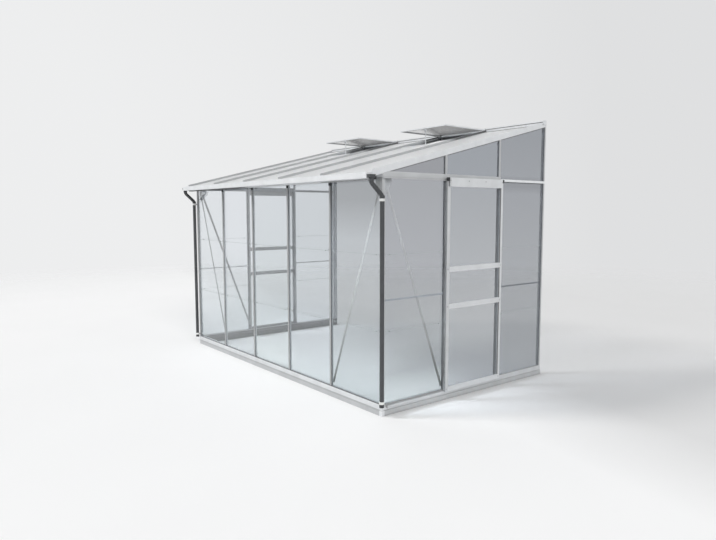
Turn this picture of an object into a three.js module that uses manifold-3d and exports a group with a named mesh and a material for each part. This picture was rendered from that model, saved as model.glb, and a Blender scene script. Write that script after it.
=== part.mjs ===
import * as THREE from 'three';
import * as BufferGeometryUtils from 'three/addons/utils/BufferGeometryUtils.js';
import Module from 'manifold-3d';

const wasm = await Module();
wasm.setup();

// Lean-to greenhouse. Millimetres, +Z up, +Y towards the wall it leans on, +X to the right.
// The origin is on the ground, in the middle of the greenhouse.
// d is the distance outwards from the plane of a wall's glass, n the height above the
// underside of the roof bars, and reach the distance out from the wall that carries it.
// A drop is measured down from the eaves, and a rise up from what carries the piece.

// Overall layout
const bayPitch = 620;
const frontBays = 5;
const gableDepth = 1850;
const eavesHeight = 1720;
const roofRiseShare = 0.25;
const gutterReach = 158;
const fitGap = 0.3;

// Glass
const glassThickness = 3;
const lapHeight = 14;
const lapProud = 2.5;
const lapInset = 16;
const paneRow = 546;
const firstLap = 614;

// Glazing bar of the walls
const capHalf = 10;
const capOuter = 8;
const neckHalf = 3;
const flangeHalf = 10;
const flangeWall = 2.3;
const webHalf = 1.5;
const headHalf = 5;
const headDepth = 4;
const barInner = 18;

// Roof bars
const roofBarDepth = 44;
const roofFlangeTop = 22;
const roofFlangeWall = 3;
const roofFootHalf = 7;
const roofFootDepth = 3;
const roofCapWall = 3;
const roofNoseHalf = 4;
const roofNoseStart = 50;
const endBarWall = 3;
const endLegInner = 4;
const endFlangeInner = 12;
const endLipReach = 6;

// Base frame
const baseHeight = 40;
const baseOuter = 16;
const sillHeight = 81;
const sillOuter = 12;
const baseWall = 3;
const sillInner = 30;
const grooveDepth = 15;
const grooveOuter = 4.5;
const grooveInner = 1;

// Corner post and wall post
const cornerLeg = 16;
const cornerRadius = 5;
const wallPostCap = 16;
const wallPostSolid = 10;
const wallPostFlange = 34;
const wallPostInner = 36;
const wallPlate = 2.5;

// Girts and braces
const midGirtZ = 830;
const midGirtHeight = 12;
const braceWidth = 20;
const braceWall = 3;
const braceTopDrop = 80;
const braceFootZ = 108;
const braceTopInset = 48;
const braceFootInset = 6;
const gussetReach = 96;
const gussetHeight = 110;
const gussetTopDrop = 26;
const gussetFlat = 34;

// Door track and door
const trackDrop = 36;
const trackHeight = 49;
const trackWall = 2.5;
const trackLegReach = 24;
const trackLipHeight = 4.5;
const trackFrontInset = 6;
const trackWallGap = 2;
const girtRise = 11;
const ledgeRise = 6;
const doorWidth = 650;
const doorOverlap = 15;
const doorInner = 16;
const doorOuter = 34;
const doorStile = 35;
const doorBottom = 68;
const doorTopRail = 42;
const doorBottomRail = 38;
const railHeight = 40;
const railOneZ = 712;
const railTwoZ = 998;
const railProud = 3;
const railStartInset = 21;
const headBoxOuter = 46;
const headBoxDrop = 44;
const headBoxHeight = 68;
const headBoxWall = 2.5;
const headBoxInner = 12;
const headBoxInset = 19;
const doorTravel = 580;
const rollerRadius = 8;
const rollerWidth = 6;
const rollerPin = 3;
const rollerInset = 70;
const guideZ = 58;
const guideReach = 26;
const guideLipTop = 76;
const guideWall = 2;
const guideStart = 30;
const guideEndPast = 18;

// Gutter and eaves beam
const gutterDepth = 41;
const gutterWall = 2.5;
const gutterLipReturn = 6;
const troughRear = 97;
const troughRearDrop = 6;
const eavesFlangeDrop = 28;
const channelInner = 55;
const channelDrop = 49;
const channelHeight = 22;
const gutterEndPast = 12;
const endPlateDrop = 8;
const roofGlassPast = 8;
const paneTopReach = 24;

// Ridge
const ridgeRise = 55.5;
const ridgeWall = 3;
const ridgePast = 10;
const hookRadius = 4.4;
const hookWall = 2.6;
const hingeReach = 14;
const hingeLift = 32;
const coverFront = 46;
const coverDrop = 39;
const coverFall = 5;
const coverWall = 2.5;
const coverPast = 8;
const seatReach = 36;
const seatInset = 40;

// Roof vents
const ventBays = [1, 3];
const ventRestDegrees = 14.6;
const ventLength = 568;
const ventRail = 18;
const ventBelow = 1.8;
const ventAbove = 10;
const ventGlassLow = 2.5;
const ventGrip = 5;
const ventSideGap = 12.5;
const beadRadius = 4;
const beadNeck = 1.5;
const ventRailStart = 12;
const stayPivotInset = 50;
const stayPivotDrop = 9;
const stayLength = 164;
const stayWidth = 10;
const stayThick = 3;
const stayHole = 2.8;
const stayHoles = 5;
const lugWall = 4;
const lugHalf = 6;
const lugInset = 22;
const pinRadius = 2.5;
const ventSillInset = 12;
const ventSillFlange = 24;
const ventSillWall = 2.6;
const ventSillTop = 29.8;
const ventSillLow = 9;
const lowerPaneInset = 8;

// Downpipes
const pipeRadius = 16;
const pipeOutX = 29;
const pipeOutY = 28;
const pipeFootZ = 73;
const neckTopDrop = 70;
const neckBottomDrop = 158;
const pipeSides = 20;
const bendShare = 0.12;
const outletReach = 125;
const cupLength = 50;
const cupWidth = 34;
const cupTopDrop = 16;
const cupHeight = 21;
const cupCorner = 6;
const spigotRadius = 8;
const spigotDrop = 26;
const spigotLength = 9;
const clipWall = 2.5;
const clipHeight = 16;
const clipUpperDrop = 186;
const clipLowerZ = 107;
const clipStrapHalf = 6;

// Sizes worked out from the ones above
const overrun = 5;
const arcSteps = 8;
const overallDepth = gableDepth + gutterReach;
const wallY = overallDepth / 2;
const frontY = wallY - gableDepth;
const gableX = (frontBays * bayPitch) / 2;
const roofAngle = Math.atan(roofRiseShare);
const roofCos = Math.cos(roofAngle);
const roofSin = Math.sin(roofAngle);
const doorBay = doorWidth - doorOverlap * 2;
const doorPostY = [frontY + bayPitch, frontY + bayPitch + doorBay];
const doorCentreY = (doorPostY[0] + doorPostY[1]) / 2;
const glassRoofLow = roofFlangeTop + fitGap;
const glassRoofHigh = glassRoofLow + glassThickness;
const capInner = glassThickness + fitGap;
const wallGlassTop = eavesHeight - gutterWall * 3;
const braceTopZ = eavesHeight - braceTopDrop;
const gussetTop = eavesHeight - gussetTopDrop;
const trackBottom = eavesHeight - trackDrop;
const trackTop = trackBottom + trackHeight;
const overDoorLedge = trackBottom + ledgeRise;
const headBoxBottom = trackBottom - headBoxDrop;
const headBoxTop = headBoxBottom + headBoxHeight;
const gutterBottom = eavesHeight - gutterDepth;
const channelBottom = eavesHeight - channelDrop;
const channelTop = channelBottom + channelHeight;
const cupTop = eavesHeight - cupTopDrop;
const cupBottom = cupTop - cupHeight;
const spigotZ = eavesHeight - spigotDrop;
const pipeNeckTop = eavesHeight - neckTopDrop;
const pipeNeckBottom = eavesHeight - neckBottomDrop;
const clipUpperZ = eavesHeight - clipUpperDrop;
const stayPivotReach = ventLength - stayPivotInset;
const lugEnd = ventLength - lugInset;
const ventSillStart = ventLength - ventSillInset;
const lowerPaneStart = ventLength - lowerPaneInset;

const underside = (y) => eavesHeight + roofRiseShare * (y - frontY);
const roofTopAt = (y, n) => underside(y) + n / roofCos;
const ridgeTop = underside(wallY) + ridgeRise;
const gridX = (index) => -gableX + index * bayPitch;

const aluminium = { color: 0xd6d9dc, metalness: 0.75, roughness: 0.38 };
const paleAluminium = { color: 0xe9ebec, metalness: 0.6, roughness: 0.42 };
const glass = { color: 0xcfdde3, metalness: 0, roughness: 0.05, opacity: 0.35, transparent: true };
const blackPlastic = { color: 0x2b2d2e, metalness: 0, roughness: 0.5 };

// Helpers: outlines, prisms and solids

function shapeOf(points) {
  return new THREE.Shape(points.map(([u, v]) => new THREE.Vector2(u, v)));
}

function pathOf(points) {
  return new THREE.Path(points.map(([u, v]) => new THREE.Vector2(u, v)));
}

function arc(cu, cv, radius, fromDegrees, toDegrees, steps = arcSteps) {
  const points = [];
  for (let i = 0; i <= steps; i += 1) {
    const angle = THREE.MathUtils.degToRad(fromDegrees + ((toDegrees - fromDegrees) * i) / steps);
    points.push([cu + radius * Math.cos(angle), cv + radius * Math.sin(angle)]);
  }
  return points;
}

function rectangle(u0, v0, u1, v1) {
  return [[u0, v0], [u1, v0], [u1, v1], [u0, v1]];
}

function mirrored(half) {
  const other = half.map(([u, v]) => [-u, v]).reverse();
  return [...half, ...other];
}

// Extrudes a flat outline between two ends; an end may be a number or a function of (u, v),
// which gives mitred and sloping cuts.
function prism(outline, axes, from, to) {
  const shape = outline instanceof THREE.Shape ? outline : shapeOf(outline);
  const geometry = new THREE.ExtrudeGeometry(shape, { depth: 1, bevelEnabled: false });
  const position = geometry.attributes.position;
  const start = typeof from === 'function' ? from : () => from;
  const end = typeof to === 'function' ? to : () => to;
  const point = new THREE.Vector3();
  for (let i = 0; i < position.count; i += 1) {
    const u = position.getX(i);
    const v = position.getY(i);
    const w = position.getZ(i) < 0.5 ? start(u, v) : end(u, v);
    point.copy(axes.origin).addScaledVector(axes.u, u).addScaledVector(axes.v, v);
    point.addScaledVector(axes.w, w);
    position.setXYZ(i, point.x, point.y, point.z);
  }
  return geometry;
}

function axesOf(origin, u, v) {
  return { origin, u, v, w: new THREE.Vector3().crossVectors(u, v) };
}

const zero = new THREE.Vector3();
const unitX = new THREE.Vector3(1, 0, 0);
const unitY = new THREE.Vector3(0, 1, 0);
const unitZ = new THREE.Vector3(0, 0, 1);
const alongX = axesOf(zero, unitY, unitZ);
const alongY = axesOf(zero, unitZ, unitX);
const alongZ = axesOf(zero, unitX, unitY);

// Outlines here are lists of [y, z], [x, z] and [x, y].
const prismX = (outline, from, to) => prism(outline, alongX, from, to);
const prismZ = (outline, from, to) => prism(outline, alongZ, from, to);
const prismY = (outline, from, to) => prism(outline.map(([x, z]) => [z, x]), alongY, from, to);

// Along the roof slope: outline of [x, n], ends given as a distance down the slope.
const roofOrigin = new THREE.Vector3(0, wallY, underside(wallY));
const roofNormal = new THREE.Vector3(0, -roofSin, roofCos);
const roofAxes = axesOf(roofOrigin, unitX, roofNormal);
const prismRoof = (outline, from, to) => prism(outline, roofAxes, from, to);

// Distance down the slope at which the height n of the roof stands over a given y.
const slopeTo = (y, n) => (wallY - y - n * roofSin) / roofCos;

function solid(geometry) {
  const bare = geometry.clone();
  bare.deleteAttribute('normal');
  bare.deleteAttribute('uv');
  const merged = BufferGeometryUtils.mergeVertices(bare);
  return new wasm.Manifold(
    new wasm.Mesh({
      numProp: 3,
      vertProperties: new Float32Array(merged.attributes.position.array),
      triVerts: new Uint32Array(merged.index.array),
    }),
  );
}

function join(geometries) {
  return geometries.map(solid).reduce((whole, piece) => whole.add(piece));
}

function cut(whole, geometries) {
  return geometries.map(solid).reduce((rest, piece) => rest.subtract(piece), whole);
}

function geometryOf(manifold) {
  const mesh = manifold.getMesh();
  const geometry = new THREE.BufferGeometry();
  geometry.setAttribute('position', new THREE.BufferAttribute(mesh.vertProperties, 3));
  geometry.setIndex(new THREE.BufferAttribute(mesh.triVerts, 1));
  geometry.computeVertexNormals();
  return geometry;
}

const greenhouse = new THREE.Group();

function addPiece(name, form, look) {
  const geometry = form instanceof THREE.BufferGeometry ? form : geometryOf(form);
  const mesh = new THREE.Mesh(geometry, new THREE.MeshStandardMaterial(look));
  mesh.name = name;
  greenhouse.add(mesh);
}

function cylinderAlong(axis, radius, length, centre, sides = pipeSides) {
  const geometry = new THREE.CylinderGeometry(radius, radius, length, sides);
  if (axis === 'x') geometry.rotateZ(Math.PI / 2);
  if (axis === 'z') geometry.rotateX(Math.PI / 2);
  geometry.translate(centre.x, centre.y, centre.z);
  return geometry;
}

// Base frame: a hollow extrusion with a step and a glass groove, mitred at the front corners

const grooveFloor = sillHeight - grooveDepth;

function baseOutline() {
  return [
    [baseOuter, 0],
    [baseOuter, baseHeight],
    [sillOuter, baseHeight],
    [sillOuter, sillHeight],
    [grooveOuter, sillHeight],
    [grooveOuter, grooveFloor],
    [-grooveInner, grooveFloor],
    [-grooveInner, sillHeight],
    [-sillInner, sillHeight],
    [-sillInner, 0],
  ];
}

function baseHollow() {
  const w = baseWall;
  return [
    [baseOuter - w, w],
    [baseOuter - w, baseHeight - w],
    [sillOuter - w, baseHeight - w],
    [sillOuter - w, grooveFloor - w],
    [-grooveInner - w, grooveFloor - w],
    [-grooveInner - w, sillHeight - w],
    [-sillInner + w, sillHeight - w],
    [-sillInner + w, w],
  ];
}

function hollowShape(place) {
  const shape = shapeOf(baseOutline().map(place));
  shape.holes.push(pathOf(baseHollow().map(place).reverse()));
  return shape;
}

function baseFront() {
  const shape = hollowShape(([d, z]) => [frontY - d, z]);
  const mitre = (y) => gableX + (frontY - y) - fitGap;
  return prismX(shape, (y) => -mitre(y), (y) => mitre(y));
}

function baseGable(side) {
  const shape = hollowShape(([d, z]) => [z, side * (gableX + d)]);
  const mitre = (z, x) => frontY - (side * x - gableX) + fitGap;
  const rail = prism(shape, alongY, mitre, wallY);
  const guide = [
    [sillOuter - guideWall, guideZ],
    [guideReach, guideZ],
    [guideReach, guideLipTop],
    [guideReach - guideWall, guideLipTop],
    [guideReach - guideWall, guideZ + guideWall],
    [sillOuter - guideWall, guideZ + guideWall],
  ].map(([d, z]) => [side * (gableX + d), z]);
  const guideEnd = doorPostY[1] + guideEndPast;
  return join([rail, prismY(guide, frontY + guideStart, guideEnd)]);
}

// Wall bars: cap outside the glass, flange behind it, web and bolt head inside

function barHalfOutline() {
  return [
    [capHalf, capOuter],
    [capHalf, capInner],
    [neckHalf, capInner],
    [neckHalf, -fitGap],
    [flangeHalf, -fitGap],
    [flangeHalf, -fitGap - flangeWall],
    [webHalf, -fitGap - flangeWall],
    [webHalf, -barInner + headDepth],
    [headHalf, -barInner + headDepth],
    [headHalf, -barInner],
  ];
}

const barBottom = sillHeight + fitGap;

function frontBar(index) {
  const placed = mirrored(barHalfOutline()).map(([u, d]) => [gridX(index) + u, frontY - d]);
  return prismZ(placed, barBottom, (x, y) => underside(y) - fitGap);
}

function doorPost(side, y) {
  const placed = mirrored(barHalfOutline()).map(([u, d]) => [side * (gableX + d), y + u]);
  return prismZ(placed, barBottom, (x, py) => underside(py) - fitGap);
}

// Corner post, in distances outwards from the gable's and the front's glass planes

function cornerOutline(side) {
  const r = cornerRadius;
  const inner = flangeWall + fitGap;
  const points = [
    [-cornerLeg, capOuter],
    ...arc(capOuter - r, capOuter - r, r, 90, 0),
    [capOuter, -cornerLeg],
    [capInner, -cornerLeg],
    [capInner, -inner],
    [-fitGap, -inner],
    [-fitGap, -barInner],
    [-inner, -barInner],
    [-inner, -inner],
    [-barInner, -inner],
    [-barInner, -fitGap],
    [-inner, -fitGap],
    [-inner, capInner],
    [-cornerLeg, capInner],
  ];
  return points.map(([a, b]) => [side * (gableX + a), frontY - b]);
}

function pipeClip(side, z) {
  const pipeX = side * (gableX + pipeOutX);
  const pipeY = frontY - pipeOutY;
  const centre = new THREE.Vector3(pipeX, pipeY, z);
  const inner = pipeRadius + fitGap;
  const ring = solid(cylinderAlong('z', inner + clipWall, clipHeight, centre));
  const reach = [
    [capOuter - cornerRadius, capOuter - clipWall],
    [capOuter - clipWall, capOuter - cornerRadius],
    [pipeOutX + clipStrapHalf, pipeOutY - clipStrapHalf],
    [pipeOutX - clipStrapHalf, pipeOutY + clipStrapHalf],
  ].map(([a, b]) => [side * (gableX + a), frontY - b]);
  const strap = solid(prismZ(reach, z - clipHeight / 2, z + clipHeight / 2));
  const bore = cylinderAlong('z', inner, clipHeight + overrun * 2, centre);
  return cut(ring.add(strap), [bore]);
}

function cornerPost(side) {
  const post = prismZ(cornerOutline(side), barBottom, (x, y) => underside(y) - fitGap);
  return solid(post).add(pipeClip(side, clipUpperZ)).add(pipeClip(side, clipLowerZ));
}

// Mid girts lie between the flange and the head of the bars they join

const midGirtOuter = fitGap * 2 + flangeWall;
const midGirtInner = barInner - headDepth - fitGap;

function midGirt(side, fromY, toY) {
  const z0 = midGirtZ - midGirtHeight / 2;
  const z1 = midGirtZ + midGirtHeight / 2;
  const section = rectangle(-midGirtInner, z0, -midGirtOuter, z1);
  return prismY(section.map(([d, z]) => [side * (gableX + d), z]), fromY, toY);
}

function frontMidGirt(side) {
  const from = frontY + flangeWall + fitGap * 2;
  return midGirt(side, from, doorPostY[0] - webHalf - fitGap);
}

function wallPost(side) {
  const flange = fitGap + flangeWall;
  const outline = [
    [capOuter, 0],
    [capOuter, wallPostCap],
    [capInner, wallPostCap],
    [capInner, wallPostSolid],
    [-fitGap, wallPostSolid],
    [-fitGap, wallPostInner],
    [-flange, wallPostInner],
    [-flange, wallPlate],
    [-wallPostFlange, wallPlate],
    [-wallPostFlange, 0],
  ].map(([d, back]) => [side * (gableX + d), wallY - back]);
  const post = prismZ(outline, barBottom, (x, y) => underside(y) - fitGap);
  const girt = midGirt(side, doorPostY[1] + webHalf + fitGap, wallY - wallPlate + overrun / 10);
  return join([post, girt]);
}

// Corner braces: two flat bars that meet at an angled plate in the top corner

function braceBar(side, alongFront) {
  const topAlong = braceTopInset;
  const footAlong = bayPitch - braceFootInset;
  const run = footAlong - topAlong;
  const fall = braceTopZ - braceFootZ;
  const length = Math.hypot(run, fall);
  const halfRun = (braceWidth / 2) * (fall / length);
  const halfFall = (braceWidth / 2) * (run / length);
  const outline = [
    [topAlong - halfRun, braceTopZ - halfFall],
    [topAlong + halfRun, braceTopZ + halfFall],
    [footAlong + halfRun, braceFootZ + halfFall],
    [footAlong - halfRun, braceFootZ - halfFall],
  ];
  return placeFlat(side, alongFront, outline);
}

function gusset(side, alongFront) {
  const low = gussetTop - gussetHeight;
  const start = barInner + fitGap;
  const outline = [
    [start, low],
    [start + gussetFlat, low],
    [gussetReach, gussetTop - gussetFlat],
    [gussetReach, gussetTop],
    [start, gussetTop],
  ];
  return placeFlat(side, alongFront, outline);
}

// A flat plate just inside the bars' heads, along the front wall or along the gable.
function placeFlat(side, alongFront, outline) {
  const near = barInner + fitGap;
  const far = near + braceWall;
  if (alongFront) {
    const placed = outline.map(([a, z]) => [side * (gableX - a), z]);
    return prismY(placed, frontY + near, frontY + far);
  }
  const placed = outline.map(([a, z]) => [frontY + a, z]);
  const x0 = side * (gableX - near);
  const x1 = side * (gableX - far);
  return prismX(placed, Math.min(x0, x1), Math.max(x0, x1));
}

function cornerBrace(side) {
  return join([
    braceBar(side, true),
    braceBar(side, false),
    gusset(side, true),
    gusset(side, false),
  ]);
}

// Door track: plate across two bays, leg and running lip, a girt behind, a ledge for the pane above

function doorTrack(side) {
  const plateIn = capOuter + fitGap;
  const plateOut = plateIn + trackWall;
  const section = [
    [plateIn, trackBottom],
    [trackLegReach, trackBottom],
    [trackLegReach, trackBottom + trackLipHeight],
    [trackLegReach - trackWall, trackBottom + trackLipHeight],
    [trackLegReach - trackWall, trackBottom + trackWall],
    [plateIn, trackBottom + trackWall],
  ].map(([d, z]) => [side * (gableX + d), z]);
  const start = frontY - trackFrontInset;
  const end = doorPostY[1] + capHalf;
  const runway = prismY(section, start, end);
  const seat = (y) => underside(y) - fitGap;
  const slopeEnd = frontY + (trackTop - seat(frontY)) / roofRiseShare;
  const face = shapeOf([
    [start, trackBottom],
    [end, trackBottom],
    [end, trackTop],
    [slopeEnd, trackTop],
    [start, seat(start)],
  ]);
  const plate = gablePlate(side, face, plateIn, plateOut);
  const girtLow = trackBottom + girtRise;
  const strip = shapeOf(rectangle(end - trackWall, girtLow, wallY - trackWallGap, girtLow + capHalf * 2));
  const girt = gablePlate(side, strip, plateIn, plateOut);
  const ledge = rectangle(-grooveInner, overDoorLedge, plateIn + trackWall / 2, overDoorLedge + trackWall);
  const placedLedge = ledge.map(([d, z]) => [side * (gableX + d), z]);
  const ledgeInset = capHalf + fitGap;
  const overDoor = prismY(placedLedge, doorPostY[0] + ledgeInset, doorPostY[1] - ledgeInset);
  return join([runway, plate, girt, overDoor]);
}

// Door: hollow frame with a glass groove, raised rails, a head box with rollers in it

const doorStart = doorCentreY - doorWidth / 2;
const doorEnd = doorCentreY + doorWidth / 2;
const doorGlassPlane = (doorInner + doorOuter) / 2;
const doorGlassBottom = doorBottom + doorBottomRail;
const doorGlassTop = headBoxBottom + fitGap;

function gablePlate(side, outline, d0, d1) {
  const x0 = side * (gableX + d0);
  const x1 = side * (gableX + d1);
  return prismX(outline, Math.min(x0, x1), Math.max(x0, x1));
}

function doorRoller(side, y) {
  const lipTop = trackBottom + trackLipHeight;
  const axisZ = lipTop + fitGap + rollerRadius;
  const lipCentre = trackLegReach - trackWall / 2;
  const pinEnd = headBoxOuter - headBoxWall / 2;
  const wheelX = side * (gableX + lipCentre);
  const wheel = cylinderAlong('x', rollerRadius, rollerWidth, new THREE.Vector3(wheelX, y, axisZ));
  const pinMiddle = side * (gableX + (lipCentre + pinEnd) / 2);
  const pin = cylinderAlong('x', rollerPin, pinEnd - lipCentre, new THREE.Vector3(pinMiddle, y, axisZ));
  return [wheel, pin];
}

function doorFrame(side) {
  const topRailTop = trackBottom - fitGap * 4;
  const frameTop = Math.min(headBoxBottom + doorTopRail, topRailTop);
  const outer = shapeOf(rectangle(doorStart, doorBottom, doorEnd, frameTop));
  const left = doorStart + doorStile;
  const right = doorEnd - doorStile;
  const rows = [
    [doorGlassBottom, railOneZ],
    [railOneZ + railHeight, railTwoZ],
    [railTwoZ + railHeight, headBoxBottom],
  ];
  rows.forEach(([z0, z1]) => outer.holes.push(pathOf(rectangle(left, z0, right, z1))));
  const frame = gablePlate(side, outer, doorInner, doorOuter);
  const raised = [railOneZ, railTwoZ].map((z) => {
    const face = rectangle(doorStart + railStartInset, z, right, z + railHeight);
    return gablePlate(side, face, doorOuter - railProud, doorOuter + railProud);
  });
  const headSection = [
    [doorInner, headBoxBottom],
    [headBoxOuter, headBoxBottom],
    [headBoxOuter, headBoxTop],
    [headBoxInner, headBoxTop],
    [headBoxInner, headBoxTop - headBoxWall],
    [headBoxOuter - headBoxWall, headBoxTop - headBoxWall],
    [headBoxOuter - headBoxWall, headBoxBottom + headBoxWall],
    [doorInner, headBoxBottom + headBoxWall],
  ].map(([d, z]) => [side * (gableX + d), z]);
  const headStart = doorStart + headBoxInset;
  const headEnd = doorEnd - headBoxInset;
  const head = prismY(headSection, headStart, headEnd);
  const rollers = [headStart + rollerInset, headEnd - rollerInset].flatMap((y) => doorRoller(side, y));
  const half = glassThickness / 2 + fitGap;
  const grip = ventGrip + fitGap;
  const sheet = rectangle(left - grip, doorGlassBottom - grip, right + grip, headBoxBottom + grip);
  const groove = gablePlate(side, sheet, doorGlassPlane - half, doorGlassPlane + half);
  const guideHalf = guideWall / 2 + fitGap * 4;
  const guideMiddle = guideReach - guideWall / 2;
  const slot = rectangle(doorStart - overrun, doorBottom - overrun, doorEnd + overrun,
    guideLipTop + fitGap * 6);
  const channel = gablePlate(side, slot, guideMiddle - guideHalf, guideMiddle + guideHalf);
  return cut(join([frame, ...raised, head, ...rollers]), [groove, channel]);
}

function doorGlass(side) {
  const half = glassThickness / 2;
  const left = doorStart + doorStile - ventGrip;
  const right = doorEnd - doorStile + ventGrip;
  const sheet = rectangle(left, doorGlassBottom - ventGrip, right, headBoxBottom + ventGrip);
  return gablePlate(side, sheet, doorGlassPlane - half, doorGlassPlane + half);
}

// Gutter and eaves beam in one section: trough, sloping seat for the roof bars, front flange

function gutterOutline() {
  const w = gutterWall;
  const seat = (out) => underside(frontY - out) - fitGap;
  const flangeIn = capOuter + fitGap;
  const flangeOut = flangeIn + w;
  const trough = gutterReach;
  const rear = troughRear;
  const points = [
    [trough, gutterBottom],
    [trough, eavesHeight],
    [trough - gutterLipReturn, eavesHeight],
    [trough - gutterLipReturn, eavesHeight - w],
    [trough - w, eavesHeight - w],
    [trough - w, gutterBottom + w],
    [rear + w, gutterBottom + w],
    [rear + w, eavesHeight - troughRearDrop],
    [rear, eavesHeight - troughRearDrop],
    [rear, seat(rear)],
    [flangeIn, seat(flangeIn)],
    [flangeIn, eavesHeight - eavesFlangeDrop],
    [flangeOut, eavesHeight - eavesFlangeDrop],
    [flangeOut, seat(flangeOut) - w],
    [rear, seat(rear) - w],
    [rear, gutterBottom],
  ];
  return points.map(([out, z]) => [frontY - out, z]);
}

const gutterEnd = gableX + gutterEndPast;

function spigot(side, radius, length) {
  const middle = side * (gutterEnd - length / 2 + fitGap);
  const centre = new THREE.Vector3(middle, frontY - outletReach, spigotZ);
  return cylinderAlong('x', radius, length, centre);
}

function gutter() {
  const beam = prismX(gutterOutline(), -gutterEnd, gutterEnd);
  const plate = rectangle(frontY - gutterReach, gutterBottom, frontY - troughRear, eavesHeight - endPlateDrop);
  const plates = [-1, 1].map((side) => {
    const x0 = side * (gutterEnd - gutterWall);
    const x1 = side * gutterEnd;
    return prismX(plate, Math.min(x0, x1), Math.max(x0, x1));
  });
  const w = gutterWall;
  const channelOutline = [
    [troughRear, channelBottom],
    [channelInner, channelBottom],
    [channelInner, channelTop + w],
    [troughRear, channelTop + w],
  ].map(([out, z]) => [frontY - out, z]);
  const channel = prismX(channelOutline, -gableX, gableX);
  const boltSlot = rectangle(frontY - troughRear + w, channelBottom + w, frontY - channelInner - w, channelTop);
  const holes = [-1, 1].map((side) => spigot(side, spigotRadius + fitGap, overrun * 3));
  holes.push(prismX(boltSlot, -gutterEnd - overrun, gutterEnd + overrun));
  return cut(join([beam, ...plates, channel]), holes);
}

// Roof bars: foot, web, glass flange, cap and nose; the nose stops short of the ridge

const roofBarEnd = (n) => slopeTo(frontY - troughRear + fitGap, n);
const roofBarStart = (n) => slopeTo(wallY - ridgeWall - fitGap, n);

function roofBarLower() {
  return mirrored([
    [roofFootHalf, 0],
    [roofFootHalf, roofFootDepth],
    [webHalf, roofFootDepth],
    [webHalf, roofFlangeTop - roofFlangeWall],
    [flangeHalf, roofFlangeTop - roofFlangeWall],
    [flangeHalf, roofFlangeTop],
  ]);
}

function roofBarUpper() {
  const capLow = glassRoofHigh + fitGap;
  return mirrored([
    [neckHalf, roofFlangeTop - roofFlangeWall / 2],
    [neckHalf, capLow],
    [capHalf, capLow],
    [capHalf, capLow + roofCapWall],
    [roofNoseHalf, capLow + roofCapWall],
    [roofNoseHalf, roofBarDepth],
  ]);
}

function innerRoofBar(index) {
  const shift = ([u, n]) => [gridX(index) + u, n];
  const lower = prismRoof(roofBarLower().map(shift), (u, n) => roofBarStart(n), (u, n) => roofBarEnd(n));
  const noseStart = (u, n) => slopeTo(wallY - roofNoseStart, n);
  const upper = prismRoof(roofBarUpper().map(shift), noseStart, (u, n) => roofBarEnd(n));
  return join([lower, upper]);
}

function endRoofBar(side) {
  const place = ([d, n]) => [side * (gableX + d), n];
  const outer = capOuter;
  const inner = capOuter - endBarWall;
  const flangeLow = roofFlangeTop - roofFlangeWall;
  const lower = [
    [outer, 0],
    [outer, roofFlangeTop],
    [-endFlangeInner, roofFlangeTop],
    [-endFlangeInner, flangeLow],
    [-endLegInner, flangeLow],
    [-endLegInner, 0],
    [-grooveInner, 0],
    [-grooveInner, flangeLow],
    [inner, flangeLow],
    [inner, 0],
  ].map(place);
  const capLow = glassRoofHigh + fitGap;
  const upper = [
    [outer, roofFlangeTop - roofFlangeWall / 2],
    [outer, roofBarDepth],
    [inner, roofBarDepth],
    [inner, capLow + roofCapWall],
    [inner - endLipReach, capLow + roofCapWall],
    [inner - endLipReach, capLow],
    [inner, capLow],
    [inner, roofFlangeTop - roofFlangeWall / 2],
  ].map(place);
  const end = (u, n) => roofBarEnd(n);
  const noseStart = (u, n) => slopeTo(wallY - roofNoseStart, n);
  return join([
    prismRoof(lower, (u, n) => roofBarStart(n), end),
    prismRoof(upper, noseStart, end),
  ]);
}

// Ridge: wall plate, hinge hook along the top, seat for the bars, covers on the fixed bays

const hingeY = wallY - hingeReach;
const hingeZ = roofTopAt(hingeY, hingeLift);

function hookOutline() {
  const outerR = hookRadius + hookWall;
  return [
    ...arc(hingeY, hingeZ, outerR, -118, 104, arcSteps * 2),
    ...arc(hingeY, hingeZ, hookRadius, 104, -118, arcSteps * 2),
  ];
}

function ridge() {
  const end = gableX + ridgePast;
  const bottom = underside(wallY) + fitGap;
  const plate = prismX(rectangle(wallY - ridgeWall, bottom, wallY, ridgeTop), -end, end);
  const hook = prismX(hookOutline(), -end, end);
  const web = rectangle(hingeY + hookRadius + hookWall / 2, hingeZ - hookWall / 2,
    wallY - ridgeWall / 2, hingeZ + hookWall / 2);
  const seatEnd = gableX - seatInset;
  const seatTop = (reach) => underside(wallY - reach) - fitGap;
  const seat = [
    [wallY, bottom + overrun],
    [wallY - ridgeWall, bottom + overrun],
    [wallY - ridgeWall, seatTop(ridgeWall)],
    [wallY - seatReach, seatTop(seatReach)],
    [wallY - seatReach, seatTop(seatReach) - ridgeWall],
    [wallY, seatTop(0) - ridgeWall],
  ];
  const cover = [
    [wallY - ridgeWall / 2, ridgeTop],
    [wallY - coverFront, ridgeTop - coverFall],
    [wallY - coverFront, ridgeTop - coverDrop],
    [wallY - coverFront + coverWall, ridgeTop - coverDrop],
    [wallY - coverFront + coverWall, ridgeTop - coverFall - coverWall],
    [wallY - ridgeWall / 2, ridgeTop - coverWall],
  ];
  const covers = [];
  for (let bay = 0; bay < frontBays; bay += 1) {
    if (!ventBays.includes(bay)) {
      const from = bay === 0 ? -end : gridX(bay) - coverPast;
      const to = bay === frontBays - 1 ? end : gridX(bay + 1) + coverPast;
      covers.push(prismX(cover, from, to));
    }
  }
  return join([plate, hook, prismX(web, -end, end), prismX(seat, -seatEnd, seatEnd), ...covers]);
}

// Glass

function lapStrips(from, to, place) {
  const strips = [];
  for (let z = firstLap; z < eavesHeight - paneRow / 2; z += paneRow) {
    strips.push(place(from + lapInset, to - lapInset, z - lapHeight / 2, z + lapHeight / 2));
  }
  return strips;
}

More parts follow.
